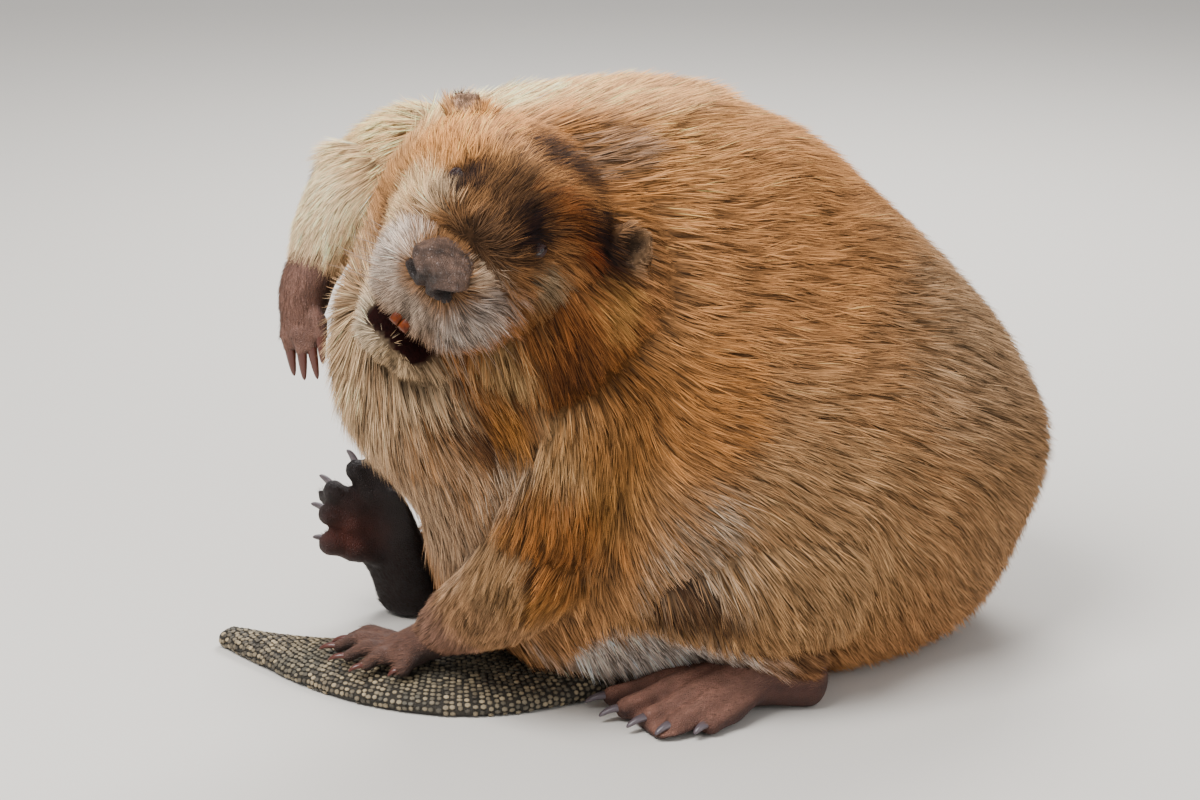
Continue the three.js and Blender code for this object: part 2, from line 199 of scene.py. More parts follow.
# ---------------------------------------------------------------- surfaces
@dataclass
class Surface:
    """A mesh being made: points (n, 3) in mm and faces (m, 3 or 4)."""

    points: Array
    faces: Array

    def volume(self) -> float:
        """The signed volume, positive where faces point outwards."""
        fans = [self.faces[:, [0, k, k + 1]] for k in range(1, self.faces.shape[1] - 1)]
        corners = self.points[np.concatenate(fans)]
        return float(np.einsum("ij,ij->", corners[:, 0], np.cross(corners[:, 1], corners[:, 2])))

    def outward(self) -> "Surface":
        """The same surface with its faces pointing outwards."""
        return self if self.volume() > 0 else Surface(self.points, self.faces[:, ::-1])

    def areas(self) -> Array:
        """The area of each quad."""
        a, b, c, d = (self.points[self.faces[:, k]] for k in range(4))
        return np.linalg.norm(np.cross(c - a, d - b), axis=1) / 2

    def edges(self) -> Array:
        """Each edge's two points, (k, 2), with shared edges listed once per face."""
        return np.concatenate([np.roll(self.faces, -k, axis=1)[:, :2] for k in range(self.faces.shape[1])])

    def normals(self) -> Array:
        """Unit normals at the points, from the faces around them weighted by area."""
        a, b, c = (self.points[self.faces[:, k]] for k in (0, 1, 2))
        d = self.points[self.faces[:, -1]]
        across = np.cross(c - a, d - b) if self.faces.shape[1] == 4 else np.cross(b - a, c - a)
        total = np.zeros_like(self.points)
        for k in range(self.faces.shape[1]):
            for axis in range(3):
                total[:, axis] += np.bincount(self.faces[:, k], across[:, axis], len(self.points))
        return unit(total)

    def relaxed(self, rounds: int, shares: Array | float = 1.0) -> "Surface":
        """Smoothed: each point moves towards the mean of its neighbours, then 0.9 as far back.

        Args:
            rounds: how many times.
            shares: how strongly each point is smoothed, 0 to 1.
        """
        edges, count = self.edges(), len(self.points)
        both = np.concatenate([edges, edges[:, ::-1]])
        degree = np.maximum(np.bincount(both[:, 0], minlength=count), 1)
        points = self.points.copy()
        strength = np.broadcast_to(np.asarray(shares, dtype=float), (count,))
        for step in range(2 * rounds):
            mean = np.stack([np.bincount(both[:, 0], points[both[:, 1], k], count) for k in range(3)], 1)
            pull = 0.6 if step % 2 == 0 else -0.54
            points += (mean / degree[:, None] - points) * (strength * pull)[:, None]
        return Surface(points, self.faces)


def joined(parts: Sequence[Surface]) -> Surface:
    """Several surfaces with faces of one size as one."""
    starts = np.cumsum([0] + [len(part.points) for part in parts[:-1]])
    faces = np.concatenate([part.faces + start for part, start in zip(parts, starts)])
    return Surface(np.concatenate([part.points for part in parts]), faces)


def grid(points: Array, wrap: bool = True) -> Surface:
    """A surface from a (rows, columns, 3) grid; wrap closes it round its columns."""
    rows, columns = points.shape[:2]
    last = columns if wrap else columns - 1
    i, j = np.meshgrid(np.arange(rows - 1), np.arange(last), indexing="ij")
    following = (j + 1) % columns
    faces = np.stack([i * columns + j, i * columns + following,
                      (i + 1) * columns + following, (i + 1) * columns + j], axis=-1)
    return Surface(points.reshape(-1, 3), faces.reshape(-1, 4))


@dataclass(frozen=True)
class Loft:
    """A closed body of rings carried along a smooth path, with rounded ends.

    Each station is (x, y, z, half_a, half_b): a centre, and the ring's half sizes along `across`
    and square to it. A ring is a superellipse of power `square`, narrowed by `taper` on its across
    side, and square to the path or to `axis`. `caps` are how far the ends reach.
    """

    stations: tuple[tuple[float, ...], ...]
    across: tuple[float, ...] = (0.0, 0.0, 1.0)
    axis: tuple[float, ...] | None = None
    caps: tuple[float, float] = (0.0, 0.0)
    square: float = 2.0
    taper: float = 0.0
    in_head: bool = False

    def spine(self, t: Array) -> tuple[Array, Array, Array, Array, Array]:
        """Centres, headings, the two ring directions and half sizes at t, in the posing frame."""
        table = np.array(self.stations, dtype=float)
        path = table[:, :3]
        centres = spline(path, t)
        sizes = spline(table[:, 3:], t)
        step = 1e-3
        heading = unit(spline(path, np.minimum(t + step, 1)) - spline(path, np.maximum(t - step, 0)))
        if self.axis is not None:
            heading = np.tile(np.array(self.axis), (len(t), 1))
        side = np.array(self.across, dtype=float)
        u = unit(side - heading * (heading @ side)[:, None])
        v = np.cross(heading, u)
        if self.in_head:
            return HEAD.out(centres), HEAD.turn(heading), HEAD.turn(u), HEAD.turn(v), sizes
        return centres, heading, u, v, sizes

    def surface(self, sides: int = 40, rings: int = 30, grow: float = 0.0, round_rings: int = 6) -> Surface:
        """The body as a mesh, with every ring grown by `grow` mm."""
        lean = np.sin(np.linspace(-math.pi / 2, 0, round_rings, endpoint=False))
        t = np.concatenate([np.zeros(round_rings), np.linspace(0, 1, rings), np.ones(round_rings)])
        reach = np.concatenate([lean, np.zeros(rings), -lean[::-1]])
        cap = np.where(reach < 0, self.caps[0], self.caps[1]) + (grow if max(self.caps) > 0 else 0.0)
        centres, heading, u, v, sizes = self.spine(t)
        centres = centres + heading * (reach * np.maximum(cap, 0.0))[:, None]
        shrink = np.sqrt(np.maximum(1 - reach ** 2, 1e-6))[:, None]
        angle = np.linspace(0, 2 * math.pi, sides, endpoint=False)
        c, s = np.cos(angle), np.sin(angle)
        a = (sizes[:, :1] + grow) * shrink * bent(c, 2 / self.square)
        b = (sizes[:, 1:] + grow) * shrink * bent(s, 2 / self.square) * (1 - self.taper * c)
        points = centres[:, None] + u[:, None] * a[..., None] + v[:, None] * b[..., None]
        return grid(points).outward()

    def nearness(self, points: Array, samples: int = 14) -> tuple[Array, Array, Array]:
        """How far out points lie, in ring sizes: 0 on the path, 1 on the surface.

        Returns:
            The least distance over rings, the place t of that ring, and the heading there.
        """
        t = np.linspace(0, 1, samples)
        centres, heading, u, v, sizes = self.spine(t)
        spacing = np.linalg.norm(centres[-1] - centres[0]) / (samples - 1) + 1e-6
        best = np.full(len(points), 1e9)
        where = np.zeros(len(points), dtype=int)
        for k in range(samples):
            offset = points - centres[k]
            along = np.maximum(np.abs(offset @ heading[k]) - spacing, 0.0)
            far = np.sqrt((offset @ u[k] / sizes[k, 0]) ** 2 + (offset @ v[k] / sizes[k, 1]) ** 2
                          + (along / sizes[k].mean()) ** 2)
            closer = far < best
            best[closer], where[closer] = far[closer], k
        return best, t[where], heading[where]


# ---------------------------------------------------------------- the bodies under the skin
class Part(Enum):
    """The parts of the furred body that have a coat of their own."""

    TRUNK = "trunk"
    NECK = "neck"
    SKULL = "head"
    MUZZLE = "muzzle"
    JAW = "jaw"
    EAR_LEFT = "ear_left"
    EAR_RIGHT = "ear_right"
    ARM_LEFT_UPPER = "arm_left_upper"
    ARM_LEFT_LOWER = "arm_left_lower"
    ARM_RIGHT_UPPER = "arm_right_upper"
    ARM_RIGHT_LOWER = "arm_right_lower"
    THIGH_LEFT = "thigh_left"
    SHANK_LEFT = "shank_left"
    THIGH_RIGHT = "thigh_right"
    SHANK_RIGHT = "shank_right"
    TAIL_ROOT = "tail_root"


def ear_loft(side: int) -> Loft:
    """A short round ear flap on the animal's left (1), which stands further out, or right (-1)."""
    out = 4 if side > 0 else 0
    return Loft(((-42, (58 + out) * side, 26 + out, 15, 9), (-46, (69 + out) * side, 35 + out, 18, 7),
                 (-50, (78 + out) * side, 42 + out, 14, 4.5)),
                across=(0, -0.7 * side, 0.7), caps=(0, 6), square=2.2, in_head=True)


TAIL_ACROSS = (0.0, 1.0, 0.16)
BODY = {
    Part.TRUNK: Loft(
        ((126, 38, 0, 112, 84), (104, 32, 30, 196, 128), (94, 28, 80, 236, 152), (92, 24, 145, 256, 162),
         (57, 22, 210, 267, 158), (30, 18, 270, 244, 144), (14, 14, 325, 202, 126), (-2, 12, 370, 163, 106),
         (-18, 10, 402, 112, 74)),
        across=tuple(FORWARD), axis=(0, 0, 1), caps=(0, 15), square=2.1, taper=0.16),
    Part.NECK: Loft(((-24, -20, 296, 100, 102), (-46, -84, 298, 96, 98), (-64, -142, 290, 70, 74)),
                    caps=(20, 26)),
    Part.SKULL: Loft(((-84, 0, 3, 58, 52), (-58, 0, -3, 77, 63), (-30, 0, -9, 81, 69), (-4, 0, -13, 76, 69),
                      (20, 0, -17, 62, 60), (38, 0, -22, 52, 52)),
                     across=(0, 1, 0), caps=(14, 8), square=2.4, in_head=True),
    Part.MUZZLE: Loft(((26, 0, -26, 54, 44), (46, 0, -30, 46, 39), (62, 0, -34, 37, 32)),
                      across=(0, 1, 0), caps=(4, 9), square=2.3, in_head=True),
    Part.JAW: Loft(((-8, 0, -70, 46, 30), (16, 0, -83, 40, 22), (42, 0, -92, 27, 13.5)),
                   across=(0, 1, 0), caps=(10, 8), in_head=True),
    Part.EAR_LEFT: ear_loft(1),
    Part.EAR_RIGHT: ear_loft(-1),
    Part.ARM_LEFT_UPPER: Loft(((12, -82, 254, 56, 62), (-14, -118, 200, 56, 54), (-36, -146, 140, 46, 42)),
                              caps=(24, 24)),
    Part.ARM_LEFT_LOWER: Loft(((-36, -146, 136, 42, 38), (-66, -128, 96, 38, 34), (-98, -92, 62, 27, 26),
                               (-114, -76, 46, 19, 22)), caps=(22, 6)),
    Part.ARM_RIGHT_UPPER: Loft(((-60, 46, 326, 66, 62), (-96, 34, 346, 56, 54), (-128, 18, 358, 48, 48),
                                (-156, 4, 356, 40, 40)), caps=(20, 22)),
    Part.ARM_RIGHT_LOWER: Loft(((-160, 0, 352, 40, 38), (-186, -22, 324, 29, 29), (-202, -38, 290, 18, 20)),
                               across=tuple(FORWARD), caps=(24, 5)),
    Part.THIGH_LEFT: Loft(((150, -76, 98, 62, 56), (96, -98, 96, 64, 57), (44, -112, 90, 52, 46)),
                          caps=(34, 26)),
    Part.SHANK_LEFT: Loft(((70, -106, 62, 32, 30), (108, -102, 46, 28, 26), (142, -94, 32, 22, 24)),
                          caps=(18, 10)),
    Part.THIGH_RIGHT: Loft(((40, 130, 88, 66, 50), (-20, 122, 84, 74, 52), (-76, 108, 78, 60, 46)),
                           caps=(34, 26)),
    Part.SHANK_RIGHT: Loft(((-70, 110, 66, 42, 38), (-108, 100, 44, 32, 30), (-132, 92, 26, 24, 24)),
                           caps=(18, 10)),
    Part.TAIL_ROOT: Loft(((104, 44, 34, 46, 36), (76, 26, 26, 40, 28), (46.3, 6.2, 17, 35, 19)),
                         across=TAIL_ACROSS, caps=(10, 0)),
}
TAIL = Loft(((46, 6, 17, 34, 18), (0, -26, 16, 46, 14), (-45, -55, 14, 54, 11), (-95, -69, 12.5, 55, 10),
             (-145, -64, 11.5, 44, 9), (-192, -43, 10, 30, 8), (-232, -14, 8, 18, 7), (-270, 19, 6.5, 9, 6)),
            across=TAIL_ACROSS, caps=(0, 8), square=2.5)


@dataclass(frozen=True)
class Foot:
    """A naked foot: its palm, its digits from the inner to the outer one, and their claws.

    Attributes:
        node: the CAD node's name.
        palm: the palm or sole.
        digits: for each digit three stations (x, y, z, radius): root, joint and tip.
        claws: each claw's point.
        claw_radius: a claw's half width at its root.
        claw_bow: how far a claw's middle stands above the straight line.
        claw_reach: how far a claw runs towards its point in `claws`, as a share.
        claw_taper: the power by which its width falls to the point; the less, the blunter.
        top: the foot's upper side, as a direction.
        dark: the skin's colour where it faces away from its top, as painted shade, as a hex code.
        pale: its colour where it faces its top, as painted light.
        hair: the colour of the short hair on its back.
    """

    node: str
    palm: Loft
    digits: tuple[tuple[tuple[float, ...], ...], ...]
    claws: tuple[tuple[float, float, float], ...]
    claw_radius: float
    claw_bow: float
    top: tuple[float, float, float]
    dark: str
    pale: str
    hair: str = "6e4e40"
    claw_reach: float = 1.0
    claw_taper: float = 0.42


FEET = (
    Foot("forepaw_left",
         Loft(((-108, -78, 48, 17, 21), (-118, -74, 41, 15, 21), (-132, -70, 34, 12, 23),
               (-148, -67, 29, 8, 22)), caps=(4, 8)),
         (((-146, -50, 30, 7), (-164, -40, 32, 6), (-178, -34, 25, 4.5)),
          ((-148, -58, 30, 7), (-170, -51, 31, 6), (-186, -46, 24, 4.5)),
          ((-148, -68, 30, 7), (-164, -68, 31, 6), (-178, -66, 24, 4.5)),
          ((-144, -78, 30, 7), (-154, -82, 31, 6), (-164, -84, 24, 4.5)),
          ((-128, -84, 32, 8), (-134, -90, 30, 7), (-138, -94, 25, 6))),
         ((-192, -30, 21), (-200, -44, 21), (-192, -66, 21), (-176, -88, 21), (-148, -97, 21)), 3.0, 2.0,
         (-0.3, -0.3, 0.9), "2c1c16", "5e4034"),
    Foot("forepaw_right",
         Loft(((-198, -32, 298, 18, 20), (-202, -38, 290, 18, 20), (-205, -44, 276, 17, 17),
               (-206, -48, 266, 14, 15)), across=tuple(FORWARD), caps=(4, 8)),
         (((-197, -54, 272, 7), (-193, -64, 268, 6), (-191, -70, 260, 4.5)),
          ((-203, -54, 266, 7), (-200, -61, 260, 6), (-198, -64, 251, 4.5)),
          ((-209, -54, 264, 7), (-207, -60, 256, 6), (-205, -62, 247, 4.5)),
          ((-214, -48, 264, 7), (-215, -51, 255, 6), (-214, -52, 246, 4.5)),
          ((-214, -38, 266, 7), (-216, -38, 258, 6), (-215, -38, 250, 4.5))),
         ((-190, -74, 244), (-195, -65, 231), (-204, -62, 229), (-212, -52, 229), (-213, -38, 234)), 4.3, 0.0,
         (-0.5, -0.6, 0.3), "3a241e", "7c584a", claw_reach=1.15),
    Foot("hindfoot_left",
         Loft(((146, -92, 17, 19, 22), (112, -100, 24, 22, 24), (80, -110, 18, 15, 32), (48, -122, 8, 7, 42),
               (28, -130, 4, 4, 43)), caps=(12, 6)),
         (((98, -94, 30, 11), (46, -98, 17, 9), (8, -104, 9, 7)),
          ((100, -102, 32, 12), (52, -116, 20, 9.5), (17, -127, 9, 7.5)),
          ((102, -108, 31, 12), (62, -132, 19, 9.5), (35, -143, 9, 7.5)),
          ((105, -112, 28, 12), (72, -142, 16, 9.5), (51, -156, 9, 7.5)),
          ((110, -114, 22, 11), (90, -138, 12, 9), (75, -153, 8, 7.5))),
         ((-14, -108, 5), (-4, -134, 5), (15, -155, 5), (35, -168, 5), (62, -167, 5)), 4.4, 2.0,
         (0.0, 0.0, 1.0), "442820", "8a6050", claw_reach=0.84, claw_taper=0.34),
    Foot("hindfoot_right",
         Loft(((-144, 86, 14, 18, 24), (-150, 80, 42, 17, 28), (-162, 74, 68, 13, 36), (-172, 68, 90, 7, 42),
               (-178, 64, 102, 4, 42)), across=(0.6, 0.8, 0.0), caps=(14, 6)),
         (((-148, 66, 78, 11), (-156, 58, 108, 10), (-163, 54, 130, 8)),
          ((-154, 68, 78, 11), (-168, 58, 106, 10), (-178, 53, 124, 8)),
          ((-160, 70, 74, 11), (-182, 58, 96, 10), (-195, 52, 108, 8)),
          ((-162, 72, 66, 12), (-184, 60, 82, 11), (-199, 52, 90, 8)),
          ((-160, 74, 52, 12), (-182, 60, 62, 11), (-198, 50, 68, 9))),
         ((-167, 58, 147), (-186, 58, 140), (-207, 58, 120), (-214, 56, 98), (-213, 52, 73)), 4.0, 2.0,
         (0.5, 0.7, 0.3), "150907", "2a1813", "24130d", claw_reach=0.84, claw_taper=0.34),
)


@dataclass(frozen=True)
class Coat:
    """The coat of one part.

    Attributes:
        depth: how far the skin lies inside the coat's tips, mm.
        length: a tuft's length, mm.
        width: a tuft's width, mm.
        rise: how high its middle stands over the skin, as a share of its length.
        density: tufts per square centimetre.
        hue: the colour, as a hex code.
    """

    depth: float
    length: float
    width: float
    rise: float
    density: float
    hue: str


COATS = {
    Part.TRUNK: Coat(9.0, 32.0, 1.15, 0.17, 52.0, "a9784c"),
    Part.NECK: Coat(8.0, 26.0, 1.0, 0.19, 66.0, "8a5529"),
    Part.SKULL: Coat(5.0, 16.0, 0.72, 0.22, 135.0, "7f5733"),
    Part.MUZZLE: Coat(2.5, 8.0, 0.45, 0.18, 280.0, "9c8877"),
    Part.JAW: Coat(3.0, 11.0, 0.55, 0.18, 200.0, "b3936c"),
    Part.EAR_LEFT: Coat(1.5, 5.5, 0.45, 0.15, 240.0, "8a6a4e"),
    Part.EAR_RIGHT: Coat(2.0, 5.0, 0.45, 0.14, 220.0, "a67a52"),
    Part.ARM_LEFT_UPPER: Coat(7.0, 24.0, 0.85, 0.16, 74.0, "93652f"),
    Part.ARM_LEFT_LOWER: Coat(4.0, 13.0, 0.65, 0.15, 140.0, "8f6c4c"),
    # the raised right arm's pale cream hues are painted light
    Part.ARM_RIGHT_UPPER: Coat(7.0, 23.0, 0.85, 0.18, 76.0, "e4bc88"),
    Part.ARM_RIGHT_LOWER: Coat(4.0, 13.0, 0.65, 0.18, 140.0, "cfae8c"),
    Part.THIGH_LEFT: Coat(8.0, 29.0, 1.15, 0.15, 52.0, "9a7148"),
    Part.SHANK_LEFT: Coat(3.0, 8.0, 0.6, 0.15, 170.0, "5c3a26"),
    Part.THIGH_RIGHT: Coat(8.0, 29.0, 1.15, 0.15, 52.0, "8d6440"),
    Part.SHANK_RIGHT: Coat(4.0, 11.0, 0.6, 0.15, 150.0, "4a2c1c"),
    Part.TAIL_ROOT: Coat(4.0, 14.0, 0.8, 0.12, 90.0, "5a3a22"),
}


# soft ellipsoids that the skin and the coat share, each its middle and radii: the bare-looking inner
# side of the left thigh and the belly's fringe above it, in the posing frame
INNER_THIGH = ((30, -125, 42), (62, 40, 24))
FRINGE = ((30, -130, 82), (74, 44, 20))
# in the head's frame: where the left eye lies, the left ear's cup and the right ear's tip
EYE_SPOT = (25, 37, 31)
EAR_CUP = (-42, 75, 42)
EAR_TIP = (-50, -80, 44)
# where the head's hair is shorter: the middle in the head's frame, the reach and the share cut off,
# round both eyes, both ears, the upper lip and the lower lip
SHORTER = (((25, 37, 31), 15, 0.55), ((25, -37, 31), 15, 0.55), ((-46, 74, 42), 24, 0.62),
           ((-48, -79, 44), 14, 0.6), ((50, 6, -62), 16, 0.45), ((44, 8, -84), 15, 0.5))


# ---------------------------------------------------------------- meshes and objects
def world(points: Array) -> Array:
    """Posing-frame millimetres as row-frame metres."""
    return (points + POSE_SHIFT) * MM


def mesh_object(name: str, surface: Surface, smooth: bool = True) -> bpy.types.Object:
    """A Blender object at the origin from a surface.

    Args:
        name: the piece's name.
        surface: points in posing-frame mm and faces of one size.
        smooth: whether the faces are shaded as one curved surface.
    """
    mesh = bpy.data.meshes.new(name)
    count, size = surface.faces.shape
    mesh.vertices.add(len(surface.points))
    mesh.vertices.foreach_set("co", world(surface.points).astype(np.float32).ravel())
    mesh.loops.add(count * size)
    mesh.loops.foreach_set("vertex_index", surface.faces.astype(np.int32).ravel())
    mesh.polygons.add(count)
    mesh.polygons.foreach_set("loop_start", np.arange(0, count * size, size, dtype=np.int32))
    mesh.polygons.foreach_set("use_smooth", np.full(count, smooth))
    mesh.update(calc_edges=True)
    piece = bpy.data.objects.new(name, mesh)
    bpy.context.scene.collection.objects.link(piece)
    return piece


def weld(piece: bpy.types.Object, distance: float = 0.01) -> None:
    """Merges points closer than `distance` mm, which closes poles, and turns faces outwards."""
    work = bmesh.new()
    work.from_mesh(piece.data)
    bmesh.ops.remove_doubles(work, verts=work.verts, dist=distance * MM)
    bmesh.ops.recalc_face_normals(work, faces=work.faces)
    work.to_mesh(piece.data)
    work.free()


def dress(piece: bpy.types.Object, material: bpy.types.Material, slot: str, *nodes: str) -> None:
    """Gives a piece its material if it has none, rides it on the body, and hides the CAD parts it replaces.
    """
    if not piece.data.materials:
        piece.data.materials.append(material)
    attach(piece, "root")
    if nodes:
        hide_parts(*nodes)


def paint(piece: bpy.types.Object, name: str, colours: Array) -> None:
    """Writes a colour attribute on a piece's points from (n, 3) linear colours."""
    layer = piece.data.color_attributes.new(name, "FLOAT_COLOR", "POINT")
    full = np.ones((len(colours), 4), dtype=np.float32)
    full[:, :3] = colours
    layer.data.foreach_set("color", full.ravel())


def voxel_union(parts: Sequence[Surface], voxel: float) -> Surface:
    """Overlapping closed bodies joined into one surface of small quads, `voxel` mm across."""
    piece = mesh_object("union_work", joined(parts))
    remesh = piece.modifiers.new("join", "REMESH")
    remesh.mode = "VOXEL"
    remesh.voxel_size = voxel * MM
    graph = bpy.context.evaluated_depsgraph_get()
    mesh = piece.evaluated_get(graph).to_mesh()
    points = np.empty(len(mesh.vertices) * 3, dtype=np.float32)
    mesh.vertices.foreach_get("co", points)
    corners = np.empty(len(mesh.loops), dtype=np.int32)
    mesh.loops.foreach_get("vertex_index", corners)
    result = Surface(points.reshape(-1, 3).astype(float) / MM - POSE_SHIFT, corners.reshape(-1, 4))
    piece.evaluated_get(graph).to_mesh_clear()
    bpy.data.objects.remove(piece, do_unlink=True)
    return result.outward()


# ---------------------------------------------------------------- materials
class Finish:
    """A material being made from nodes: a Principled shader and what feeds it."""

    def __init__(self, name: str, base: str = "808080", **sockets: float) -> None:
        """Starts a material.

        Args:
            name: the real material's name.
            base: its sRGB hex colour, where nothing else feeds the colour.
            sockets: values set on the shader's own sockets, with _ for spaces.
        """
        self.material = bpy.data.materials.new(name)
        self.material.use_nodes = True
        self.tree = self.material.node_tree
        self.shader = self.tree.nodes["Principled BSDF"]
        self.shader.inputs["Base Color"].default_value = (*linear(base), 1.0)
        for key, value in sockets.items():
            self.shader.inputs[key.replace("_", " ")].default_value = value

    def node(self, kind: str, settings: dict | None = None, **inputs: object) -> bpy.types.Node:
        """Adds a node with its settings and its inputs, each a value or another node's output.

        Args:
            kind: the node's type name without ShaderNode.
            settings: the node's own properties.
            inputs: socket names with _ for spaces, or i0, i1… for the socket's number.
        """
        made = self.tree.nodes.new("ShaderNode" + kind)
        for key, value in (settings or {}).items():
            setattr(made, key, value)
        for key, value in inputs.items():
            socket = made.inputs[int(key[1:])] if key[0] == "i" and key[1:].isdigit() else made.inputs[
                key.replace("_", " ")]
            if isinstance(value, bpy.types.NodeSocket):
                self.tree.links.new(value, socket)
            else:
                socket.default_value = value
        return made

    def ramp(self, fac: bpy.types.NodeSocket, stops: Sequence[tuple[float, str]]) -> bpy.types.NodeSocket:
        """A colour ramp over sRGB hex stops, (place, colour) each; returns its colour output."""
        made = self.node("ValToRGB", Fac=fac)
        elements = made.color_ramp.elements
        while len(elements) < len(stops):
            elements.new(0.5)
        for element, (place, code) in zip(elements, stops):
            element.position = place
            element.color = (*linear(code), 1.0)
        return made.outputs["Color"]

    def bump(self, height: bpy.types.NodeSocket, distance: float, strength: float = 1.0) -> None:
        """Feeds a bump of `distance` mm into the shader's normal."""
        made = self.node("Bump", Height=height, Distance=distance * MM, Strength=strength)
        self.tree.links.new(made.outputs["Normal"], self.shader.inputs["Normal"])

    def feed(self, socket: str, output: bpy.types.NodeSocket) -> None:
        """Links an output to a socket of the shader."""
        self.tree.links.new(output, self.shader.inputs[socket])

    def spot(self) -> bpy.types.NodeSocket:
        """Object coordinates, in metres."""
        return self.node("TexCoord").outputs["Object"]

    def tone(self) -> bpy.types.NodeSocket:
        """The piece's own colour attribute."""
        return self.node("Attribute", {"attribute_name": "tone"}).outputs["Color"]

    def mottle(self, noise: bpy.types.NodeSocket, low: float, high: float) -> None:
        """Feeds the tone into the base colour, times a shade that follows the noise from low to high."""
        shade = self.node("MapRange", Value=noise, From_Min=0.3, From_Max=0.7, To_Min=low, To_Max=high)
        factor = shade.outputs["Result"]
        scaled = self.node("VectorMath", {"operation": "SCALE"}, i0=self.tone(), Scale=factor)
        self.feed("Base Color", scaled.outputs[0])


@dataclass(frozen=True)
class HairFinish:
    """Guard hair: keratin, half matt, each tuft darker at its root and paler at its tip, partly the hair's
    own banding and partly painted shade deep in the coat.
    """

    name: str
    rough: float = 0.7
    gloss: float = 0.12

    def make(self) -> bpy.types.Material:
        """The hair material: the tuft's own tone."""
        made = Finish(self.name, Roughness=self.rough, Specular_IOR_Level=self.gloss)
        made.feed("Base Color", made.tone())
        return made.material


@dataclass(frozen=True)
class UndercoatFinish:
    """The woolly undercoat between the tufts: dull and soft, darker than the guard hair partly as its own
    colour and partly as painted shade in the gaps between tufts.
    """

    name: str = "undercoat wool"
    wool: float = 3.0

    def make(self) -> bpy.types.Material:
        """The coat's own colour attribute, darkened partly as painted shade and mottled at the wool's size in
        mm.
        """
        made = Finish(self.name, Roughness=0.9, Specular_IOR_Level=0.1)
        noise = made.node("TexNoise", Vector=made.spot(), Scale=1 / (self.wool * MM), Detail=3.0)
        # darkened to a quarter to a half: partly the wool's own colour, partly painted shade in the gaps
        # between tufts
        made.mottle(noise.outputs["Fac"], 0.22, 0.5)
        made.bump(noise.outputs["Fac"], 1.2)
        return made.material


@dataclass(frozen=True)
class SkinFinish:
    """Naked skin: creased, slightly moist, its colour from the tone attribute with fine mottling."""

    name: str
    grain: float
    relief: float
    rough: float = 0.5

    def make(self) -> bpy.types.Material:
        """Tone times mottling, with pebbled bump whose cells are `grain` mm across."""
        made = Finish(self.name, Roughness=self.rough, Specular_IOR_Level=0.4)
        spot = made.spot()
        blotch = made.node("TexNoise", Vector=spot, Scale=1 / (8 * self.grain * MM), Detail=4.0)
        made.mottle(blotch.outputs["Fac"], 0.7, 1.3)
        cells = made.node("TexVoronoi", {"feature": "DISTANCE_TO_EDGE"}, Vector=spot,
                          Scale=1 / (self.grain * MM))
        fine = made.node("MapRange", Value=cells.outputs["Distance"], From_Min=0.0, From_Max=0.25)
        made.bump(fine.outputs["Result"], self.relief)
        return made.material


# ---------------------------------------------------------------- the coat's plan
@dataclass(frozen=True)
class Patch:
    """A marking: a soft ellipsoid of colour, in the posing frame or the head's.

    Attributes:
        centre: its middle, mm.
        radii: where its strength has fallen to about a third, mm.
        hue: its colour, as a hex code.
        strength: how far it covers at its middle.
        in_head: whether centre and radii are in the head's frame.
    """

    centre: tuple[float, float, float]
    radii: tuple[float, float, float]
    hue: str
    strength: float = 1.0
    in_head: bool = False

    def share(self, points: Array, head_points: Array) -> Array:
        """How strongly the patch covers each point: strength times exp(-distance^4 / radii^4)."""
        spots = head_points if self.in_head else points
        return self.strength * np.exp(-far_from(spots, self.centre, self.radii) ** 4)


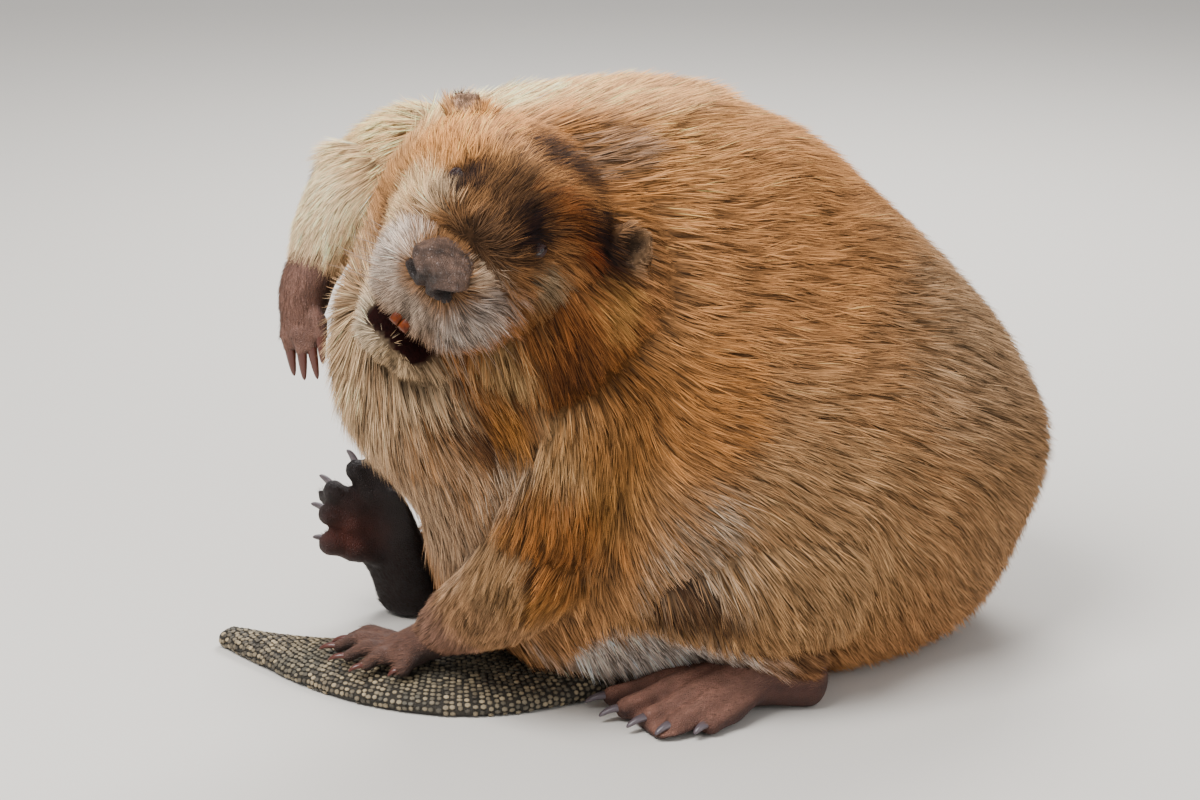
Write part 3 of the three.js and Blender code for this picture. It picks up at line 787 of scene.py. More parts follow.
MARKINGS = (
    # the back: orange-tan above, grey-brown over the rump, brown low down
    Patch((20, -40, 430), (230, 190, 80), "d99c60", 0.95),
    Patch((120, -60, 340), (120, 150, 90), "b57c4a", 0.8),
    Patch((300, 20, 240), (110, 190, 120), "a28261", 0.9),
    Patch((300, 20, 110), (120, 190, 80), "8a6744", 0.85),
    Patch((150, -130, 150), (110, 70, 90), "9b7853", 0.7),
    Patch((60, -140, 235), (40, 60, 50), "a26a36", 0.7),
    Patch((8, -160, 262), (30, 40, 50), "7a4a1e", 0.6),
    Patch((60, -130, 130), (34, 60, 50), "a5937e", 0.5),
    # the chest and the belly
    Patch((-150, -90, 250), (60, 70, 70), "bfa07c", 0.9),
    Patch((-110, -110, 170), (70, 60, 70), "a3876c", 0.9),
    Patch((-40, -150, 210), (44, 40, 34), "a07c54", 0.8),
    # painted shade in the fold on the chest under the neck's ruff
    Patch((-80, -156, 230), (34, 34, 22), "3a2010", 0.9),
    # painted shadow: the dark band that the belly's fringe casts at the flank's lower edge
    Patch((62, -140, 97), (38, 40, 14), "3c2412", 0.85),
    Patch((-60, -150, 190), (30, 40, 30), "a5907a", 0.6),
    # the inner thigh: its own pale hair, made paler still as painted light against the shade under the flank
    Patch((30, -120, 42), (66, 46, 27), "e2d2c4", 0.95),
    # the raised arm and the shoulder behind it; their two pale cream patches are painted light
    Patch((-110, 20, 400), (70, 70, 50), "fccb90", 0.95),
    Patch((-190, -20, 330), (50, 50, 60), "ffd8a6", 0.95),
    Patch((-206, -38, 290), (30, 30, 26), "80604e", 0.8),
    # the planted arm
    Patch((-30, -175, 150), (40, 40, 44), "845023", 0.85),
    Patch((-66, -165, 130), (30, 30, 34), "90704f", 0.8),
    Patch((-105, -100, 62), (34, 40, 30), "836252", 0.9),
    # the crown: tan, with a dark curly band and greyer hair behind it
    Patch((-60, -10, 60), (60, 70, 50), "9c6432", 0.9, True),
    Patch((-10, -56, 40), (50, 34, 34), "dc9450", 0.9, True),
    Patch((-30, -14, 58), (22, 20, 18), "3a2211", 0.9, True),
    Patch((-46, 10, 56), (26, 24, 20), "2c190c", 0.9, True),
    Patch((0, -80, 394), (30, 26, 20), "92755e", 0.75),
    # the brow, the bridge and the pale hair by the right eye
    Patch((26, 4, 42), (30, 30, 24), "402b1a", 0.92, True),
    Patch((52, 8, 15), (18, 22, 18), "513a28", 0.9, True),
    Patch((44, -32, 18), (20, 12, 12), "bd9f7c", 0.9, True),
    Patch((40, -50, -6), (26, 18, 28), "e0b888", 0.9, True),
    # the dark eye patches, with rust between the left eye and the ear
    Patch((0, 34, 48), (20, 26, 20), "6f3c16", 0.9, True),
    Patch((33, 28, 36), (24, 20, 20), "170a05", 1.0, True),
    Patch((34, -30, 35), (22, 15, 15), "1f0f07", 1.0, True),
    Patch((-22, 50, 48), (26, 22, 24), "190b05", 1.0, True),
    Patch((-30, 66, 28), (20, 18, 16), "220f07", 0.95, True),
    Patch((-4, 52, 38), (9, 9, 10), "6e3210", 0.8, True),
    # the cheek, the throat fold with its painted shade, and the under jaw
    Patch((28, 52, 14), (18, 14, 11), "7c6b53", 0.9, True),
    Patch((-20, 84, 14), (22, 16, 16), "a5763f", 0.85, True),
    Patch((6, 76, 0), (16, 16, 12), "6f3f1a", 0.85, True),
    # painted shade in the throat fold
    Patch((4, 88, -26), (28, 24, 24), "4e2b12", 0.9, True),
    Patch((28, 58, -12), (13, 16, 28), "6a4a2a", 0.85, True),
    Patch((18, 62, -56), (20, 22, 22), "a9865a", 0.8, True),
    Patch((14, 84, -84), (24, 26, 10), "8f5d2a", 0.8, True),
    Patch((28, 20, -95), (34, 34, 20), "a3896a", 0.9, True),
    Patch((40, -22, -80), (26, 20, 34), "c6b093", 0.9, True),
    # the left ear: a paler rim round its hollow, the hollow painted dark as shade
    Patch((-46, 77, 42), (15, 13, 18), "84694f", 0.9, True),
    # painted shade in the left ear's hollow
    Patch((-40, 74, 43), (12, 11, 14), "1a1211", 1.0, True),
    Patch((-50, -78, 40), (17, 15, 15), "9c7f6c", 0.85, True),
    # the grey whisker pads and the pale sides of the snout
    Patch((60, 32, -26), (18, 18, 24), "9f9186", 0.95, True),
    Patch((56, 34, -2), (14, 12, 12), "86766a", 0.9, True),
    Patch((64, -32, -24), (20, 18, 30), "c9b5a4", 0.95, True),
    Patch((58, 20, 2), (12, 9, 12), "b89c80", 0.8, True),
)


class CoatPlan:
    """What the coat is like at any place on the skin: its part, lie, length and colour."""

    def __init__(self, points: Array, normals: Array) -> None:
        """Works out each part's share at the points.

        Args:
            points: (n, 3) places on the skin, mm.
            normals: (n, 3) outward unit normals.
        """
        self.points, self.normals = points, normals
        self.head_points = HEAD.into(points)
        near = {part: loft.nearness(points) for part, loft in BODY.items()}
        closeness = np.stack([near[part][0] for part in BODY], axis=1)
        self.headings = np.stack([near[part][2] for part in BODY], axis=1)
        weights = np.exp(-12.0 * (closeness - closeness.min(axis=1, keepdims=True)))
        self.weights = weights / weights.sum(axis=1, keepdims=True)
        self.index = {part: k for k, part in enumerate(BODY)}

    def share(self, *parts: Part) -> Array:
        """How far each point belongs to any of these parts, 0 to 1."""
        return self.weights[:, [self.index[part] for part in parts]].sum(axis=1)

    def blend(self, key: str) -> Array:
        """A number of the coats, such as length, blended by the parts' shares."""
        values = np.array([getattr(COATS[part], key) for part in BODY])
        return self.weights @ values

    def lie(self) -> Array:
        """The direction in which the hair lies at each point, along the skin.

        On the trunk it is backwards plus down, more down the lower and further forward; on a limb
        it follows the limb to the foot; on the head it runs back from the nose and out from the
        middle line. The sum of these, by share, is laid flat on the skin.
        """
        p, n, h = self.points, self.normals, self.head_points
        back = -FORWARD
        ahead = (p - np.array([60.0, 20.0, 0.0])) @ FORWARD
        drop = 0.25 + 0.9 * ramp(300, 60, p[:, 2]) + 0.9 * ramp(60, 170, ahead) * ramp(330, 220, p[:, 2])
        total = (back[None] - UP[None] * drop[:, None]) * self.share(Part.TRUNK)[:, None]
        head = np.zeros_like(p)
        head[:, 0] = -1.0
        head[:, 1] = 0.012 * h[:, 1]
        head[:, 2] = 0.006 * h[:, 2] - 0.25 * ramp(20, -40, h[:, 2])
        head_share = self.share(Part.SKULL, Part.MUZZLE, Part.EAR_LEFT, Part.EAR_RIGHT)
        total += HEAD.turn(unit(head)) * head_share[:, None]
        jaw = np.tile(unit(np.array([-0.8, 0.0, -0.5])), (len(p), 1))
        total += HEAD.turn(jaw) * self.share(Part.JAW)[:, None]
        total += unit(back * 0.5 - UP * 0.9)[None] * self.share(Part.NECK)[:, None]
        for part in (Part.ARM_LEFT_UPPER, Part.ARM_LEFT_LOWER, Part.ARM_RIGHT_UPPER, Part.ARM_RIGHT_LOWER,
                     Part.SHANK_LEFT, Part.SHANK_RIGHT, Part.TAIL_ROOT):
            k = self.index[part]
            total += self.headings[:, k] * self.weights[:, k:k + 1]
        thigh = unit(back * 0.35 - UP)
        total += thigh[None] * self.share(Part.THIGH_LEFT, Part.THIGH_RIGHT)[:, None]
        flat = total - n * np.einsum("ij,ij->i", total, n)[:, None]
        return unit(flat)

    def colour(self, luck: Array | float = 0.0) -> Array:
        """The coat's linear colour at each point: the parts' hues, then the markings over them.

        Args:
            luck: shifts each point's share of every marking where it is part covered, so that
                hairs of both colours mingle along its edge.
        """
        hues = np.stack([linear(COATS[part].hue) for part in BODY])
        near_head = ramp(150, 90, np.linalg.norm(self.head_points, axis=1))[:, None]
        wander = mix(Ripples(38.0, 5).slope(self.points) * 9.0, Ripples(14.0, 6).slope(self.points) * 3.0,
                     near_head[:, 0])
        base = self.weights @ hues
        for patch in MARKINGS:
            share = np.clip(patch.share(self.points + wander, self.head_points + wander), 0, 1)
            share = np.clip(share + luck * 4 * share * (1 - share), 0, 1)
            base = mix(base, linear(patch.hue)[None], share)
        return base

    def mouth(self) -> Array:
        """Where the lining of the mouth is, 0 to 1: the facing walls, and the dark lower lip; its dark red is
        partly the lining's own colour and partly painted shade inside the mouth.
        """
        x, y, z = self.head_points.T
        up = self.normals @ HEAD.axes()[2]
        roof = ramp(-0.35, -0.6, up) * ramp(-52, -58, z) * ramp(26, 34, x) * ramp(30, 22, np.abs(y))
        floor = ramp(0.2, 0.5, up) * ramp(-66, -72, z) * ramp(8, 14, x) * ramp(30, 24, np.abs(y))
        edge = z + 86 - 0.03 * (y - 6) ** 2
        lip = ramp(-1, 1, edge) * ramp(-57, -61, z) * ramp(24, 30, x) * ramp(30, 25, np.abs(y - 4))
        return np.clip(roof * ramp(-74, -70, z) + floor + lip, 0, 1)


# ---------------------------------------------------------------- the skin
@dataclass
class Skin:
    """The one skin: trunk, head and limbs joined, with the naked feet and tail.

    Attributes:
        voxel: the furred body's quads, mm.
        foot_voxel: the naked feet's quads, mm.
        body: the furred body, once built.
        socket: how deep the eye sockets are sunk, mm.
        cup: how deep the left ear is hollowed, mm.
        tuck: how far the right ear's tip is laid down on the head, mm.
        thigh: how far the inner side of the left thigh is sunk, mm.
        feet: the naked feet, in the order of FEET, once built.
    """

    voxel: float = 3.6
    foot_voxel: float = 2.6
    socket: float = 2.0
    cup: float = 6.0
    tuck: float = 5.5
    thigh: float = 13.0
    body: Surface | None = None
    feet: list[Surface] = field(default_factory=list)

    def shells(self) -> list[Surface]:
        """Each furred part as a body of rings, inside the coat's tips by the coat's depth."""
        return [loft.surface(grow=-COATS[part].depth) for part, loft in BODY.items()]

    def build(self) -> bpy.types.Object:
        """Joins, smooths and shapes the furred body, adds feet and tail, and colours it all."""
        rough = voxel_union(self.shells(), self.voxel)
        h = HEAD.into(rough.points)
        in_head = ramp(-70, -40, h[:, 0]) * ramp(150, 110, np.linalg.norm(h, axis=1))
        body = rough.relaxed(9, 1.0 - 0.75 * in_head)
        body.points[:, 2] = np.maximum(body.points[:, 2], 0.2)
        self.body = self.sculpt(body)
        plan = CoatPlan(self.body.points, self.body.normals())
        # the mouth's lining: its own dark red, darkened further as painted shade inside the mouth
        tones = [mix(plan.colour(), linear("2e0d08")[None], plan.mouth())]
        parts, kinds = [self.body], [np.zeros(len(self.body.faces), dtype=np.int32)]
        for foot in FEET:
            made = self.foot(foot)
            self.feet.append(made)
            parts.append(made)
            tones.append(self.foot_tone(foot, made))
            kinds.append(np.full(len(made.faces), 1, dtype=np.int32))
        tail = TAIL.surface(sides=56, rings=110, grow=-0.5)
        tail.points[:, 2] = np.maximum(tail.points[:, 2], 0.1)
        parts.append(tail)
        tones.append(np.tile(linear("2c271f"), (len(tail.points), 1)))
        kinds.append(np.full(len(tail.faces), 2, dtype=np.int32))
        piece = mesh_object("skin", joined(parts))
        for finish in (UndercoatFinish(), SkinFinish("creased paw skin", 1.6, 0.5, 0.62),
                       SkinFinish("tail skin", 1.2, 0.3, 0.6)):
            piece.data.materials.append(finish.make())
        piece.data.polygons.foreach_set("material_index", np.concatenate(kinds))
        paint(piece, "tone", np.concatenate(tones))
        return piece

    def foot(self, foot: Foot) -> Surface:
        """A palm and knuckled digits joined and smoothed; flat where it stands on the floor."""
        shells = [foot.palm.surface(sides=28, rings=16)]
        for root, joint, tip in foot.digits:
            stations = np.array([root, joint, tip])
            t = np.array([0.0, 0.25, 0.5, 0.72, 1.0])
            line = spline(stations, t)
            line[:, 3] *= np.array([1.0, 0.9, 1.04, 0.9, 1.02])
            table = tuple((*row[:3], row[3], row[3] * 1.05) for row in line)
            shells.append(Loft(table, caps=(3, stations[2, 3] * 0.9)).surface(sides=16, rings=14))
        made = voxel_union(shells, self.foot_voxel).relaxed(2, 0.8)
        made.points[:, 2] = np.maximum(made.points[:, 2], 0.05)
        return made

    def foot_tone(self, foot: Foot, made: Surface) -> Array:
        """The foot's colour: painted shade where it faces away from its top, painted light where it faces it;
        the raised right sole has a warm middle.
        """
        # painted light and shade: the skin's colour runs from dark to pale as it turns towards the foot's top
        facing = np.clip(made.normals() @ unit(np.array(foot.top)), 0, 1)
        tone = mix(linear(foot.dark)[None] + np.zeros((len(facing), 3)), linear(foot.pale)[None], facing)
        if foot.node != "hindfoot_right":
            return tone
        warm = np.exp(-far_from(made.points, (-186, 56, 74), 22) ** 2)
        return mix(tone, linear("5a2a1e")[None], 0.7 * warm)

    def sculpt(self, body: Surface) -> Surface:
        """Sinks the eye sockets and the inner thigh, hollows the left ear and lays the right one down."""
        h, normals = HEAD.into(body.points), body.normals()
        ahead, _, crown = HEAD.axes()
        push = -self.thigh * np.exp(-far_from(body.points, *INNER_THIGH) ** 4)
        for side in (1, -1):
            x, y, z = EYE_SPOT
            push -= self.socket * np.exp(-far_from(h, (x, y * side, z), (13, 10, 9)) ** 2)
        hollow = self.cup * np.exp(-far_from(h, EAR_CUP, (14, 8, 12)) ** 4) * ramp(-0.2, 0.3, normals @ ahead)
        flat = self.tuck * np.exp(-far_from(h, EAR_TIP, 22) ** 2)
        moved = normals * push[:, None] - ahead * hollow[:, None] - crown * flat[:, None]
        return Surface(body.points + moved, body.faces)


# ---------------------------------------------------------------- the tufts
@dataclass
class Tufts:
    """Hair tufts: long thin closed wedges, each with three points at its root and one at its tip."""

    roots: Array
    normals: Array
    lie: Array
    length: Array
    width: Array
    rise: Array
    tone: Array

    def surface(self) -> tuple[Surface, Array]:
        """The wedges and their shading normals.

        A root lies 0.8 mm under the skin and is as wide as the tuft and 0.45 as high. The tip is
        one length along the lie and rise times length over the skin. The shading normals lean
        from the skin's by a half to either side, as those of a bundle of round hairs do.
        """
        side = np.cross(self.normals, self.lie)
        length, width = self.length[:, None], self.width[:, None]
        root = self.roots - self.normals * 0.8
        tip = self.roots + self.lie * length + self.normals * (self.rise * self.length)[:, None]
        points = np.stack([root - side * width / 2, root + side * width / 2,
                           root + self.normals * width * 0.45, tip], axis=1)
        points[..., 2] = np.maximum(points[..., 2], 0.3)
        shading = np.stack([self.normals - side * 0.5, self.normals + side * 0.5, self.normals,
                            self.normals + self.lie * 0.2], axis=1)
        pattern = np.array([[0, 2, 1], [0, 1, 3], [1, 2, 3], [2, 0, 3]])
        faces = pattern[None] + 4 * np.arange(len(points))[:, None, None]
        return Surface(points.reshape(-1, 3), faces.reshape(-1, 3)), unit(shading.reshape(-1, 3))

    def build(self, name: str, unwrap: Array) -> bpy.types.Object:
        """The tufts as one object with their tone, baking map and shading normals.

        Args:
            name: the piece's name.
            unwrap: (n, 2) each root's place on the unwrapped skin, 0 to 1.
        """
        made, shading = self.surface()
        piece = mesh_object(name, made)
        # dark roots and pale tips: partly the hair's own banding, partly painted shade deep in the coat
        root_to_tip = np.array([0.3, 0.3, 0.3, 1.4])
        paint(piece, "tone", (self.tone[:, None, :] * root_to_tip[None, :, None]).reshape(-1, 3))
        corner = np.array([(0.0, 0.0), (1.0, 0.0), (0.5, 0.0), (0.5, 1.0)])
        patch_size = 0.003
        patch = np.clip(unwrap, 0.004, 0.996)[:, None, :] + (corner[None] - 0.5) * patch_size
        layer = piece.data.uv_layers.new(name="OFBake")
        layer.data.foreach_set("uv", patch.reshape(-1, 2)[made.faces.ravel()].astype(np.float32).ravel())
        piece.data.normals_split_custom_set_from_vertices(shading.tolist())
        return piece


HEAD_PARTS = (Part.SKULL, Part.MUZZLE, Part.JAW, Part.EAR_LEFT, Part.EAR_RIGHT)
RIGHT_ARM = (Part.ARM_RIGHT_UPPER, Part.ARM_RIGHT_LOWER)
ARMS = (Part.ARM_LEFT_UPPER, Part.ARM_LEFT_LOWER, *RIGHT_ARM)


@dataclass
class FurCoat:
    """The whole coat, in pieces that each stay under the limit of faces.

    Attributes:
        skin: the skin that the tufts stand on.
        full: the most tufts on the furred body.
        faces_each: the most faces in one piece.
        paw_density: hairs on a square centimetre of a paw's back.
        gather: how far a tuft leans towards its clump's ridge.
        wander: how far the lie swings from place to place, over some 70 mm.
        stray: the spread of single tufts' directions.
        ridge_tone: how much paler a clump's ridge is and darker its hollows, as painted light and shade.
        tuft_tone: the spread of single tufts' tones.
        dark: the share of dark tufts, and their tone.
        pale: the share of pale tufts, and their tone.
        evenness: how much quieter the right arm's tones are.
    """

    skin: Skin
    full: int = 345000
    faces_each: int = 195000
    paw_density: float = 75.0
    gather: float = 0.18
    wander: float = 0.10
    stray: float = 0.06
    ridge_tone: float = 0.34
    tuft_tone: float = 0.26
    dark: tuple[float, float] = (0.2, 0.35)
    pale: tuple[float, float] = (0.16, 1.5)
    evenness: float = 0.65

    def roots(self) -> tuple[Array, Array]:
        """Random places on the furred skin, by area times density, and the normals there."""
        body = self.skin.body
        plan = CoatPlan(body.points, body.normals())
        underside = ramp(6, 2, body.points[:, 2]) * ramp(-0.5, -0.8, plan.normals[:, 2])
        bare = plan.mouth() + underside * 0.9
        density = plan.blend("density") * np.clip(1 - bare, 0, 1)
        area = body.areas()
        weight = area * density[body.faces].mean(axis=1)
        wanted = weight.sum() / 100.0
        log.info("coat asks for %d tufts on %.3f square metres", int(wanted), area.sum() * 1e-6)
        count = int(min(wanted, self.full))
        rng = np.random.default_rng(SEED)
        chosen = rng.choice(len(weight), count, p=weight / weight.sum())
        s, t = rng.uniform(size=(2, count, 1))
        quads = body.faces[chosen]
        return inside(body.points[quads], s, t), unit(inside(plan.normals[quads], s, t))

    def build(self) -> list[bpy.types.Object]:
        """Plans every tuft and makes the coat's pieces."""
        roots, normals = self.roots()
        plan = CoatPlan(roots, normals)
        rng = np.random.default_rng(SEED + 1)
        count = len(roots)
        lie = plan.lie()
        crest, slope = self.clumps(plan, lie)
        lie = self.combed(plan, lie, slope, rng)
        length = plan.blend("length") * rng.uniform(0.7, 1.15, count)
        width = plan.blend("width") * rng.uniform(0.7, 1.3, count)
        small = plan.share(*HEAD_PARTS, Part.NECK)
        rise = plan.blend("rise") * (1 + (0.24 + 0.16 * small) * np.clip(crest, -1.5, 1.5))
        rise *= rng.uniform(0.7, 1.3, count)
        for place, reach, cut in SHORTER:
            length *= 1 - cut * np.exp(-far_from(plan.head_points, place, reach) ** 2)
        length *= 1 - 0.5 * np.exp(-far_from(roots, *INNER_THIGH) ** 4)
        length *= 1 - 0.45 * np.exp(-far_from(roots, *FRINGE) ** 4)
        tone = self.tones(plan, crest, rng)
        pieces = []
        limit = self.faces_each // 4
        finish = HairFinish("guard hair").make()
        for title, member in self.groups(plan).items():
            places = np.flatnonzero(member)
            for k in range(0, len(places), limit):
                these = places[k:k + limit]
                tufts = Tufts(roots[these], normals[these], lie[these], length[these], width[these],
                              rise[these], tone[these])
                piece = tufts.build(f"coat_{title}_{k // limit + 1}", self.unwrap(title, plan, these))
                dress(piece, finish, "fur")
                log.info("%s: %d tufts", piece.name, len(these))
                pieces.append(piece)
        return pieces

    def combed(self, plan: CoatPlan, lie: Array, slope: Array, rng: np.random.Generator) -> Array:
        """The lie turned towards the clumps' ridges, with a slow wander, strays and the head's curl."""
        side = np.cross(plan.normals, lie)
        pull = np.einsum("ij,ij->i", slope, side)
        wander = Ripples(70.0, 13).value(plan.points)
        curl = 0.22 * Ripples(9.0, 15).value(plan.points) + rng.normal(0, 0.12, len(lie))
        turn = self.gather * pull + self.wander * wander + rng.normal(0, self.stray, len(lie))
        turn += curl * plan.share(Part.SKULL)
        return unit(lie + side * turn[:, None])

    def tones(self, plan: CoatPlan, crest: Array, rng: np.random.Generator) -> Array:
        """Each tuft's colour: the markings', paler on a clump's ridge and darker between clumps as painted
        light and shade, with dark and pale tufts mixed in.
        """
        count = len(crest)
        tone = plan.colour(0.12 * crest + rng.normal(0, 0.26, count))
        lively = 1 - self.evenness * plan.share(*RIGHT_ARM)
        # painted light on the clumps' ridges and painted shade in the hollows between them, plus each tuft's
        # own random tone
        spread = self.ridge_tone * crest + rng.normal(0, self.tuft_tone, count)
        tone *= np.maximum(1 + lively * spread, 0.2)[:, None]
        tone[rng.uniform(size=count) < self.dark[0] * lively] *= self.dark[1]
        tone[rng.uniform(size=count) < self.pale[0]] *= self.pale[1]
        return np.clip(tone, 0.004, 0.95)

    def paws(self) -> bpy.types.Object:
        """Sparse short hair on the backs of the feet, thinning out to the claws."""
        rng = np.random.default_rng(SEED + 3)
        roots, normals, lies, tones, unwraps = [], [], [], [], []
        for k, (foot, made) in enumerate(zip(FEET, self.skin.feet)):
            middle = made.points[made.faces].mean(axis=1)
            every = made.normals()[made.faces].mean(axis=1)
            top = unit(np.array(foot.top))
            start, end = np.array(foot.palm.stations[0][:3]), np.array(foot.digits[2][2][:3])
            along = unit(end - start)
            reach = (middle - start) @ along / np.linalg.norm(end - start)
            clear = ramp(3, 8, middle[:, 2])
            share = ramp(-0.1, 0.5, unit(every) @ top) * clear * ramp(1.05, 0.55, reach)
            if foot.node == "hindfoot_right":
                share = np.maximum(share, 0.9 * ramp(0.55, 0.3, reach) * clear)
            weight = made.areas() * share
            count = int(weight.sum() * self.paw_density / 100)
            chosen = rng.choice(len(weight), count, p=weight / weight.sum())
            s, t = rng.uniform(size=(2, count, 1))
            roots.append(inside(made.points[made.faces[chosen]], s, t))
            normal = unit(every[chosen])
            normals.append(normal)
            lie = along + rng.normal(0, 0.12, (count, 3))
            lies.append(unit(lie - normal * np.einsum("ij,ij->i", lie, normal)[:, None]))
            tones.append(linear(foot.hair)[None] * rng.uniform(0.5, 1.5, (count, 1)))
            strip = (k + 0.5 + 0.4 * (normal @ np.cross(along, top))) / len(FEET)
            unwraps.append(np.stack([(reach[chosen] + 0.3) / 1.8, strip], axis=1))
        count = sum(len(places) for places in roots)
        hairs = Tufts(np.concatenate(roots), np.concatenate(normals), np.concatenate(lies),
                      rng.uniform(4.0, 7.5, count), rng.uniform(0.35, 0.6, count),
                      rng.uniform(0.1, 0.24, count), np.concatenate(tones))
        piece = hairs.build("coat_paws", np.clip(np.concatenate(unwraps), 0, 1))
        dress(piece, HairFinish("short paw hair", 0.6, 0.25).make(), "fur")
        log.info("coat_paws: %d tufts", count)
        return piece

    def clumps(self, plan: CoatPlan, lie: Array) -> tuple[Array, Array]:
        """Where the hair gathers: a noise drawn out along the lie, as its value and its slope.

        Two noises are drawn out along two fixed directions, and each counts where the hair lies
        that way. On the head both are finer.
        """
        value, slope = np.zeros(len(lie)), np.zeros_like(lie)
        small = plan.share(*HEAD_PARTS)
        sweeps = (tuple(unit(-FORWARD - UP * 0.5)), tuple(unit(-FORWARD * 0.2 - UP)))
        shares = np.stack([np.abs(lie @ np.array(sweep)) ** 4 for sweep in sweeps])
        shares /= np.maximum(shares.sum(axis=0), 0.2)
        for k, sweep in enumerate(sweeps):
            for size, share in ((6.5, 1 - small), (5.0, small)):
                noise = Ripples(size, 21 + k, 40, sweep, 4.5)
                value += noise.value(plan.points) * shares[k] * share
                slope += noise.slope(plan.points) * (shares[k] * share)[:, None]
        return value, slope

    def groups(self, plan: CoatPlan) -> dict[str, Array]:
        """Which tufts each coat piece holds: by part, and the trunk by its four quarters."""
        head = plan.share(*HEAD_PARTS) > 0.5
        arms = ~head & (plan.share(*ARMS) > 0.5)
        rest = ~head & ~arms
        left = plan.points[:, 1] < 20
        rear = plan.points[:, 0] > 110
        return {"head": head, "arms": arms, "flank_left": rest & left & ~rear,
                "rump_left": rest & left & rear, "flank_right": rest & ~left & ~rear,
                "rump_right": rest & ~left & rear}

    def unwrap(self, title: str, plan: CoatPlan, these: Array) -> Array:
        """Each root's place on its piece's unwrap: the angle round the body, and the way along it.

        The head is unrolled round its forward axis, the arms round their own paths, and the trunk
        round an upright axis, by height.
        """
        points, head = plan.points[these], plan.head_points[these]
        if title == "head":
            angle = np.arctan2(head[:, 1], head[:, 2] + 15)
            return np.stack([0.5 + angle / (2 * math.pi), (head[:, 0] + 90) / 180], axis=1)
        middle = np.array([60.0, 20.0])
        angle = np.arctan2(points[:, 1] - middle[1], points[:, 0] - middle[0])
        if title == "arms":
            return np.stack([(points[:, 0] + 240) / 300, (points[:, 2] - points[:, 1] * 0.5) / 520], axis=1)
        low, high = angle.min(), angle.max()
        return np.stack([(angle - low) / (high - low + 1e-6), points[:, 2] / 440], axis=1)


# ---------------------------------------------------------------- claws, teeth, nose, eyes, whiskers
@dataclass(frozen=True)
class HornFinish:
    """Claw horn: worn smooth, so it is half glossy and even in colour."""

    name: str
    colour: str

    def make(self) -> bpy.types.Material:
        """The horn's material."""
        return Finish(self.name, self.colour, Roughness=0.32, Specular_IOR_Level=0.5).material


@dataclass(frozen=True)
class Claws:
    """The twenty claws, each a bowed horn with a blunt point and a flatter underside."""

    sides: int = 14
    rings: int = 16

    def build(self) -> None:
        """Makes each foot's claws; the forepaws' are reddish, the hind feet's grey."""
        red = HornFinish("reddish horn", "542a20").make()
        grey = HornFinish("grey horn", "564c50").make()
        for foot in FEET:
            horn = red if "fore" in foot.node else grey
            for k, (digit, point) in enumerate(zip(foot.digits, foot.claws), start=1):
                claw = self.claw(foot, np.array(digit[2][:3]), np.array(point))
                dress(mesh_object(f"horn_{foot.node}_{k}", claw), horn, "horn", f"claw_{foot.node}_{k}")

    def claw(self, foot: Foot, root: Array, point: Array) -> Surface:
        """Rings along a bowed path, wider than high, their size falling as (1 - t)^claw_taper.

        Args:
            foot: the foot that it grows on.
            root: the digit's tip, where the claw starts.
            point: where it aims.
        """
        t = np.linspace(0, 1, self.rings)[:, None]
        top = unit(np.array(foot.top))
        path = root + (point - root) * foot.claw_reach * t + top * foot.claw_bow * 4 * t * (1 - t)
        along = unit(np.gradient(path, axis=0))
        side = unit(np.cross(along, top))
        up = np.cross(side, along)
        size = foot.claw_radius * np.clip(1 - t, 0.004, 1) ** foot.claw_taper
        angle = np.linspace(0, 2 * math.pi, self.sides, endpoint=False)
        wide = size * np.cos(angle)
        high = size * np.where(np.sin(angle) > 0, 0.85, 0.5) * np.sin(angle)
        points = path[:, None] + side[:, None] * wide[..., None] + up[:, None] * high[..., None]
        return grid(points).outward()


@dataclass(frozen=True)
class Incisors:
    """The two upper front teeth: orange enamel in front, worn to a chisel edge."""

    half_width: float = 3.6
    gap: float = 0.5
    half_depth: float = 3.6
    gum: tuple[float, float] = (56.0, -50.0)
    drop: float = 13.5
    bow: float = 5.0

    def build(self) -> None:
        """Makes both teeth as one piece."""
        teeth = [self.tooth(side) for side in (1, -1)]
        piece = mesh_object("front_teeth", joined(teeth))
        finish = Finish("orange enamel", Roughness=0.42, Specular_IOR_Level=0.25)
        noise = finish.node("TexNoise", Vector=finish.spot(), Scale=1 / (4 * MM), Detail=4.0)
        # the enamel's orange, darkened as painted shade under the upper lip
        finish.feed("Base Color", finish.ramp(noise.outputs["Fac"], ((0.3, "421502"), (0.7, "743206"))))
        weld(piece)
        dress(piece, finish.material, "enamel", "incisors")

    def tooth(self, side: int) -> Surface:
        """Rounded-square rings down a curve that bows forward, thinning to the edge at its end."""
        t = np.linspace(0, 1, 18)[:, None]
        ahead, height = self.gum
        middle = np.full_like(t, side * (self.half_width + self.gap / 2))
        path = np.concatenate([ahead + self.bow * np.sin(t * 2.0), middle, height - self.drop * t], axis=1)
        depth = self.half_depth * (1 - 0.75 * ramp(0.7, 1.0, t))
        depth = np.where((t == 0) | (t == 1), 1e-3, depth)
        width = np.where((t == 0) | (t == 1), 1e-3, self.half_width)
        angle = np.linspace(0, 2 * math.pi, 20, endpoint=False)
        c, s = np.cos(angle), np.sin(angle)
        across = width * bent(c, 0.6)
        through = depth * bent(s, 0.7)
        points = np.stack([path[:, :1] + through, path[:, 1:2] + across,
                           np.broadcast_to(path[:, 2:3], across.shape)], axis=-1)
        return grid(HEAD.out(points)).outward()


